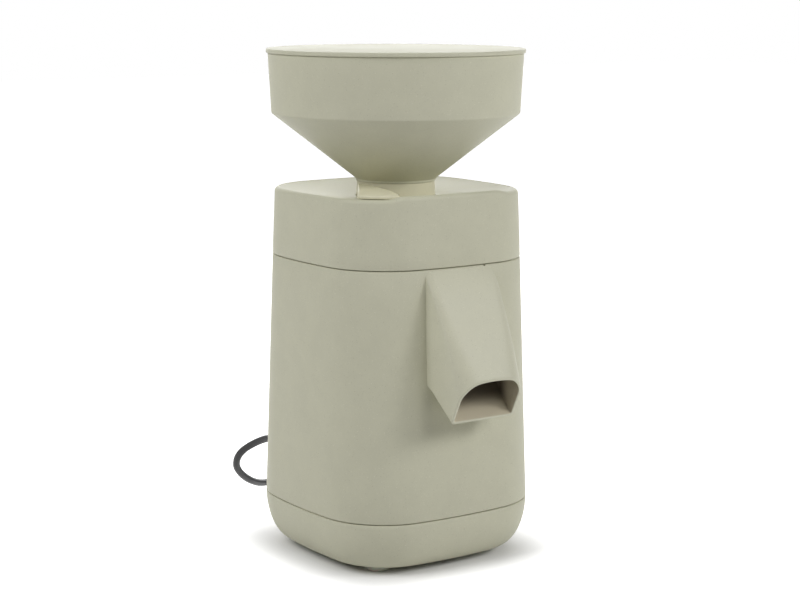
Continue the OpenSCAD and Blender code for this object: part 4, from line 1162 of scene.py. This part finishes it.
def grain_group():
    """A fine even grain for moulded and cast surfaces, with a slow change of tone."""
    group, entry, end = new_group(
        "Fine Grain",
        [("Vector", "NodeSocketVector", None), ("Scale", "NodeSocketFloat", 900.0)],
        [("Tone", "NodeSocketFloat"), ("Height", "NodeSocketFloat")])
    g = Graph(group)
    vector = entry.outputs["Vector"]
    slow = g.add("ShaderNodeTexNoise", {"Vector": vector, "Scale": 45.0, "Detail": 3.0})
    fine = g.add("ShaderNodeTexNoise", {"Vector": vector, "Scale": entry.outputs["Scale"], "Detail": 3.0})
    g.feed(end, {"Tone": slow.outputs["Fac"], "Height": fine.outputs["Fac"]})
    return group


def new_material(name):
    """A material with its shader, a graph and the object's own coordinates."""
    material = bpy.data.materials.new(name)
    material.use_nodes = True
    graph = Graph(material.node_tree)
    shader = material.node_tree.nodes["Principled BSDF"]
    return material, graph, shader, graph.add("ShaderNodeTexCoord").outputs["Object"]


def rgba(colour, scale=1.0):
    """A colour with full alpha, made lighter or darker."""
    return (*[min(1.0, c * scale) for c in colour], 1.0)


FLECK_SHARE, PALE_SHARE = 0.2, 0.5    # how strongly the dark and the pale flecks show
LINING_TONE_SHARE = 0.85                     # how much the spout lining's even tone, with its painted shade deeper in, hides its grain
MATT = 0.24                           # specular level of unpolished plastic


def fibre_material(name, finish, flecks, base, roughness, amount, specular=MATT):
    """Pressed natural-fibre plastic."""
    _, g, shader, where = new_material(name)
    husk = g.add("ShaderNodeGroup", {"Vector": where, "Amount": amount}, node_tree=flecks).outputs
    ground = g.blend(g.ramp(husk["Mottle"], 0.30, 0.70), rgba(base, 0.98), rgba(base, 1.02))
    with_dark = g.blend(g.math("MULTIPLY", husk["Dark"], FLECK_SHARE), ground, rgba(finish.fleck))
    colour = g.blend(g.math("MULTIPLY", husk["Pale"], PALE_SHARE), with_dark, rgba(finish.pale_fleck))
    g.feed(shader, {"Base Color": colour, "Normal": g.bump(husk["Height"], 0.12, 0.0003),
                    "Roughness": g.ramp(husk["Mottle"], 0.2, 0.8, roughness - 0.04, roughness + 0.05),
                    "Specular IOR Level": specular})


def grain_material(name, grain, colour, roughness, metal=0.0, scale=900.0, depth=0.0002, spread=0.06,
                   strength=0.2, through=0.0):
    """A plain surface with fine grain: moulded plastic, rubber or metal."""
    _, g, shader, where = new_material(name)
    fine = g.add("ShaderNodeGroup", {"Vector": where, "Scale": scale}, node_tree=grain).outputs
    tone = g.blend(g.ramp(fine["Tone"], 0.3, 0.7), rgba(colour, 1 - spread), rgba(colour, 1 + spread))
    g.feed(shader, {"Base Color": tone, "Normal": g.bump(fine["Height"], strength, depth), "Metallic": metal,
                    "Roughness": g.ramp(fine["Tone"], 0.2, 0.8, roughness - 0.05, roughness + 0.05),
                    "Subsurface Weight": through, "Subsurface Scale": 0.003})


def passage_material(name, grain, finish):
    """The spout's inside: pale at the mouth, with painted shade that darkens it deeper behind the mouth."""
    _, g, shader, where = new_material(name)
    fine = g.add("ShaderNodeGroup", {"Vector": where, "Scale": 500.0}, node_tree=grain).outputs
    along = g.add("ShaderNodeSeparateXYZ", {0: where}).outputs[1]
    # Painted shade: the lining darkens from its mouth colour to the passage colour deeper inside.
    deep = g.ramp(along, -finish.painted_shade_from, -finish.painted_shade_full)
    colour = g.blend(deep, rgba(finish.flour), rgba(finish.passage))
    worn = g.blend(fine["Tone"], colour, rgba(finish.flour, 0.9))
    g.feed(shader, {"Base Color": g.blend(LINING_TONE_SHARE, worn, colour), "Roughness": 0.8,
                    "Specular IOR Level": MATT})


def finishes():
    """All materials by name, made once."""
    if "Fibre plastic" in bpy.data.materials:
        return {m.name: m for m in bpy.data.materials}
    f = bpy.context.scene.mill_finish
    flecks, grain = fleck_group(), grain_group()
    fibre_material("Fibre plastic", f, flecks, f.fibre, 0.52, 1.0)
    # Ring and lever: the fibre plastic made lighter, as painted light against the hopper's shade.
    fibre_material("Ring plastic", f, flecks, f.ring, 0.5, 0.5)
    fibre_material("Lever plastic", f, flecks, f.lever, 0.5, 0.5)
    fibre_material("Spout plastic", f, flecks, f.fibre, 0.46, 1.0, specular=0.40)
    passage_material("Spout lining", grain, f)
    grain_material("Foot rubber", grain, f.foot, 0.5, scale=500.0, through=0.3)
    grain_material("Flex skin", grain, f.flex, 0.42, scale=700.0, depth=0.0001)
    grain_material("Boot rubber", grain, f.flex, 0.6, scale=800.0)
    grain_material("Black plastic", grain, f.black, 0.5, scale=1500.0, depth=0.0001)
    grain_material("Switch mark", grain, (0.75, 0.75, 0.73), 0.5)
    grain_material("Grey plastic", grain, (0.13, 0.13, 0.135), 0.5)
    grain_material("White plastic", grain, (0.70, 0.70, 0.66), 0.45)
    grain_material("Turned steel", grain, f.steel, 0.32, metal=1.0, scale=400.0, depth=0.00005)
    grain_material("Nickel", grain, f.steel, 0.22, metal=1.0, scale=300.0, depth=0.00002)
    grain_material("Cast alloy", grain, f.alloy, 0.45, metal=1.0, scale=500.0, depth=0.0003)
    grain_material("Copper wire", grain, f.copper, 0.35, metal=1.0, scale=1200.0, depth=0.0004)
    grain_material("Millstone", grain, f.stone, 0.9, scale=650.0, depth=0.0008, spread=0.1, strength=0.6)
    return {m.name: m for m in bpy.data.materials}


# The CAD nodes that are shown as they are, by the finish that they take.
CARRIED = {
    "Turned steel": ["base_screws", "head_screws", "motor_plate", "stator_core", "motor_bolts",
                     "bearing_outer_rings", "bearing_inner_rings", "bearing_balls", "cover_screws",
                     "guide_pins", "motor_shaft", "rotor_core", "stone_nut"],
    "Cast alloy": ["lower_shield", "upper_shield", "milling_chamber", "chamber_cover", "stone_carrier",
                   "stone_holder"],
    "Boot rubber": ["motor_isolators", "shaft_seal"],
    "Copper wire": ["windings"],
    "Grey plastic": ["run_capacitor"],
    "White plastic": ["terminal_block"],
    "Black plastic": ["thermal_cutout", "cooling_fan"],
    "Millstone": ["lower_stone", "upper_stone"],
}


# ---- Stage ----

PHOTO_WIDTH = 800


def add_camera(stage):
    """The camera at the photograph's place and angle."""
    data = bpy.data.cameras.new("camera")
    data.sensor_width = 36.0
    data.lens = stage.focal_px * data.sensor_width / PHOTO_WIDTH
    data.clip_end = 20
    camera = bpy.data.objects.new("camera", data)
    bpy.context.collection.objects.link(camera)
    a = stage.camera_az
    camera.location = (stage.camera_back * math.sin(a), -stage.camera_back * math.cos(a), stage.camera_z)
    camera.rotation_euler = (math.pi / 2 - stage.camera_tilt, stage.camera_roll, a - stage.camera_yaw)
    bpy.context.scene.camera = camera


# The side, the place and the target of each soft lamp.
LAMPS = {
    "front_lamp": (0.55, (0.30, -1.60, 0.95), (0, 0, 0.18)),
    "right_lamp": (0.5, (0.92, -1.25, 1.05), (0, 0, 0.18)),
    "left_lamp": (1.1, (-1.42, 0.10, 1.35), (0, 0, 0.18)),
    "back_lamp": (1.3, (0.75, 1.10, 0.80), (0, 0, 0.25)),
}


def add_lamps(stage):
    """Four square soft lamps and an even sky that shows white behind the mill."""
    for name, (side, at, target) in LAMPS.items():
        data = bpy.data.lights.new(name, "AREA")
        data.energy = getattr(stage, name)
        data.shape = "SQUARE"
        data.size = side
        lamp = bpy.data.objects.new(name, data)
        bpy.context.collection.objects.link(lamp)
        lamp.location = at
        lamp.rotation_euler = (Vector(target) - Vector(at)).to_track_quat("-Z", "Y").to_euler()
    world = bpy.data.worlds.new("studio")
    bpy.context.scene.world = world
    world.use_nodes = True
    g = Graph(world.node_tree)
    strength = g.add("ShaderNodeMix", {"Factor": g.seen(), 2: stage.sky, 3: 1.0}).outputs[0]
    g.feed(world.node_tree.nodes["Background"], {"Color": WHITE, "Strength": strength})


FLOOR_SIZE = 12
FLOOR_GREY = (0.85, 0.85, 0.85, 1)
WHITE = (1, 1, 1, 1)
SHADOW_FROM, SHADOW_TO = 0.060, 0.126    # how far from the axis the floor starts and ends to brighten
FLOOR_LIFT = 1.1


def add_floor():
    """A wide pale floor that keeps the mill's shadow and shows white elsewhere."""
    fresh()
    bpy.ops.mesh.primitive_plane_add(size=FLOOR_SIZE)
    floor = bpy.context.object
    floor.name = "floor"
    material, g, shader, where = new_material("Floor")
    axes = g.add("ShaderNodeSeparateXYZ", {0: where}).outputs
    powers = [g.math("POWER", g.math("ABSOLUTE", axes[i]), 4.0) for i in range(2)]
    far = g.math("POWER", g.math("ADD", *powers), 0.25)
    lift = g.math("MULTIPLY", g.seen(), g.ramp(far, SHADOW_FROM, SHADOW_TO, 0.0, FLOOR_LIFT))
    g.feed(shader, {"Base Color": FLOOR_GREY, "Roughness": 0.9, "Specular IOR Level": 0.0,
                    "Emission Color": WHITE, "Emission Strength": lift})
    floor.data.materials.append(material)


# ---- Operators ----

class MILL_OT_stage(bpy.types.Operator):
    """Adds the camera, the lamps, the even light and the pale floor"""
    bl_idname = "mill.stage"
    bl_label = "Stage"

    def execute(self, context):
        stage = context.scene.mill_stage
        add_camera(stage)
        add_lamps(stage)
        add_floor()
        context.scene.view_settings.view_transform = "Standard"
        return {"FINISHED"}


class MILL_OT_cord(bpy.types.Operator):
    """Lays the cord from its strain relief to the plug"""
    bl_idname = "mill.cord"
    bl_label = "Cord and plug"

    def execute(self, context):
        build_cord(context.scene.mill_housing, context.scene.mill_cord)
        return {"FINISHED"}


class MILL_OT_housing(bpy.types.Operator):
    """Builds the base pan, the tall casing and the head"""
    bl_idname = "mill.housing"
    bl_label = "Housing shells"

    def execute(self, context):
        scene = context.scene
        build_base_pan(scene.mill_housing)
        build_casing(scene.mill_housing, scene.mill_spout, scene.mill_cord)
        build_head(scene.mill_housing, scene.mill_hopper)
        return {"FINISHED"}


class MILL_OT_feet(bpy.types.Operator):
    """Adds the four rubber feet"""
    bl_idname = "mill.feet"
    bl_label = "Feet"

    def execute(self, context):
        build_feet(context.scene.mill_housing)
        return {"FINISHED"}


class MILL_OT_spout(bpy.types.Operator):
    """Builds the flour spout"""
    bl_idname = "mill.spout"
    bl_label = "Flour spout"

    def execute(self, context):
        build_spout(context.scene.mill_housing, context.scene.mill_spout)
        return {"FINISHED"}


class MILL_OT_hopper(bpy.types.Operator):
    """Builds the hopper and its lid"""
    bl_idname = "mill.hopper"
    bl_label = "Hopper and lid"

    def execute(self, context):
        build_hopper(context.scene.mill_hopper)
        build_lid(context.scene.mill_hopper)
        return {"FINISHED"}


class MILL_OT_lever(bpy.types.Operator):
    """Builds the grinding ring and its thumb lever"""
    bl_idname = "mill.lever"
    bl_label = "Ring and lever"

    def execute(self, context):
        build_neck(context.scene.mill_hopper)
        build_lever(context.scene.mill_housing, context.scene.mill_hopper)
        return {"FINISHED"}


class MILL_OT_switch(bpy.types.Operator):
    """Builds the rocker switch on the back"""
    bl_idname = "mill.switch"
    bl_label = "Switch"

    def execute(self, context):
        build_switch(context.scene.mill_housing, context.scene.mill_cord)
        return {"FINISHED"}


class MILL_OT_springs(bpy.types.Operator):
    """Coils the springs round the guide pins"""
    bl_idname = "mill.springs"
    bl_label = "Stone springs"

    def execute(self, context):
        build_springs(context.scene.mill_springs)
        return {"FINISHED"}


class MILL_OT_works(bpy.types.Operator):
    """Gives the motor, the milling chamber and the stones their finishes"""
    bl_idname = "mill.works"
    bl_label = "Inner works"

    def execute(self, context):
        for finish, nodes in CARRIED.items():
            for node in nodes:
                NODES[node].data.materials.clear()
                NODES[node].data.materials.append(finishes()[finish])
        return {"FINISHED"}


class MILL_PT_panel(bpy.types.Panel):
    """Lists the mill's build steps"""
    bl_idname = "MILL_PT_panel"
    bl_label = "Grain Mill"
    bl_space_type = "VIEW_3D"
    bl_region_type = "UI"
    bl_category = "Grain Mill"

    def draw(self, context):
        for operator in OPERATORS:
            self.layout.operator(operator.bl_idname)


# ---- Registration ----

SETTINGS = {
    "mill_housing": MillHousing, "mill_hopper": MillHopper, "mill_spout": MillSpout, "mill_cord": MillCord,
    "mill_springs": MillSprings, "mill_finish": MillFinish, "mill_stage": MillStage,
}
OPERATORS = [MILL_OT_stage, MILL_OT_cord, MILL_OT_housing, MILL_OT_feet, MILL_OT_spout, MILL_OT_hopper,
             MILL_OT_lever, MILL_OT_switch, MILL_OT_springs, MILL_OT_works]


def register():
    """Registers the settings, the operators and the panel."""
    for cls in [*SETTINGS.values(), *OPERATORS, MILL_PT_panel]:
        bpy.utils.register_class(cls)
    for name, cls in SETTINGS.items():
        setattr(bpy.types.Scene, name, PointerProperty(type=cls))


def unregister():
    """Takes back what register did."""
    for name in SETTINGS:
        delattr(bpy.types.Scene, name)
    for cls in reversed([*SETTINGS.values(), *OPERATORS, MILL_PT_panel]):
        bpy.utils.unregister_class(cls)


def main():
    """Builds the whole scene."""
    register()
    bpy.ops.mill.stage()
    bpy.ops.mill.cord()
    bpy.ops.mill.housing()
    bpy.ops.mill.feet()
    bpy.ops.mill.spout()
    bpy.ops.mill.hopper()
    bpy.ops.mill.lever()
    bpy.ops.mill.switch()
    bpy.ops.mill.springs()
    bpy.ops.mill.works()
    fresh()


if __name__ == "__main__":
    main()
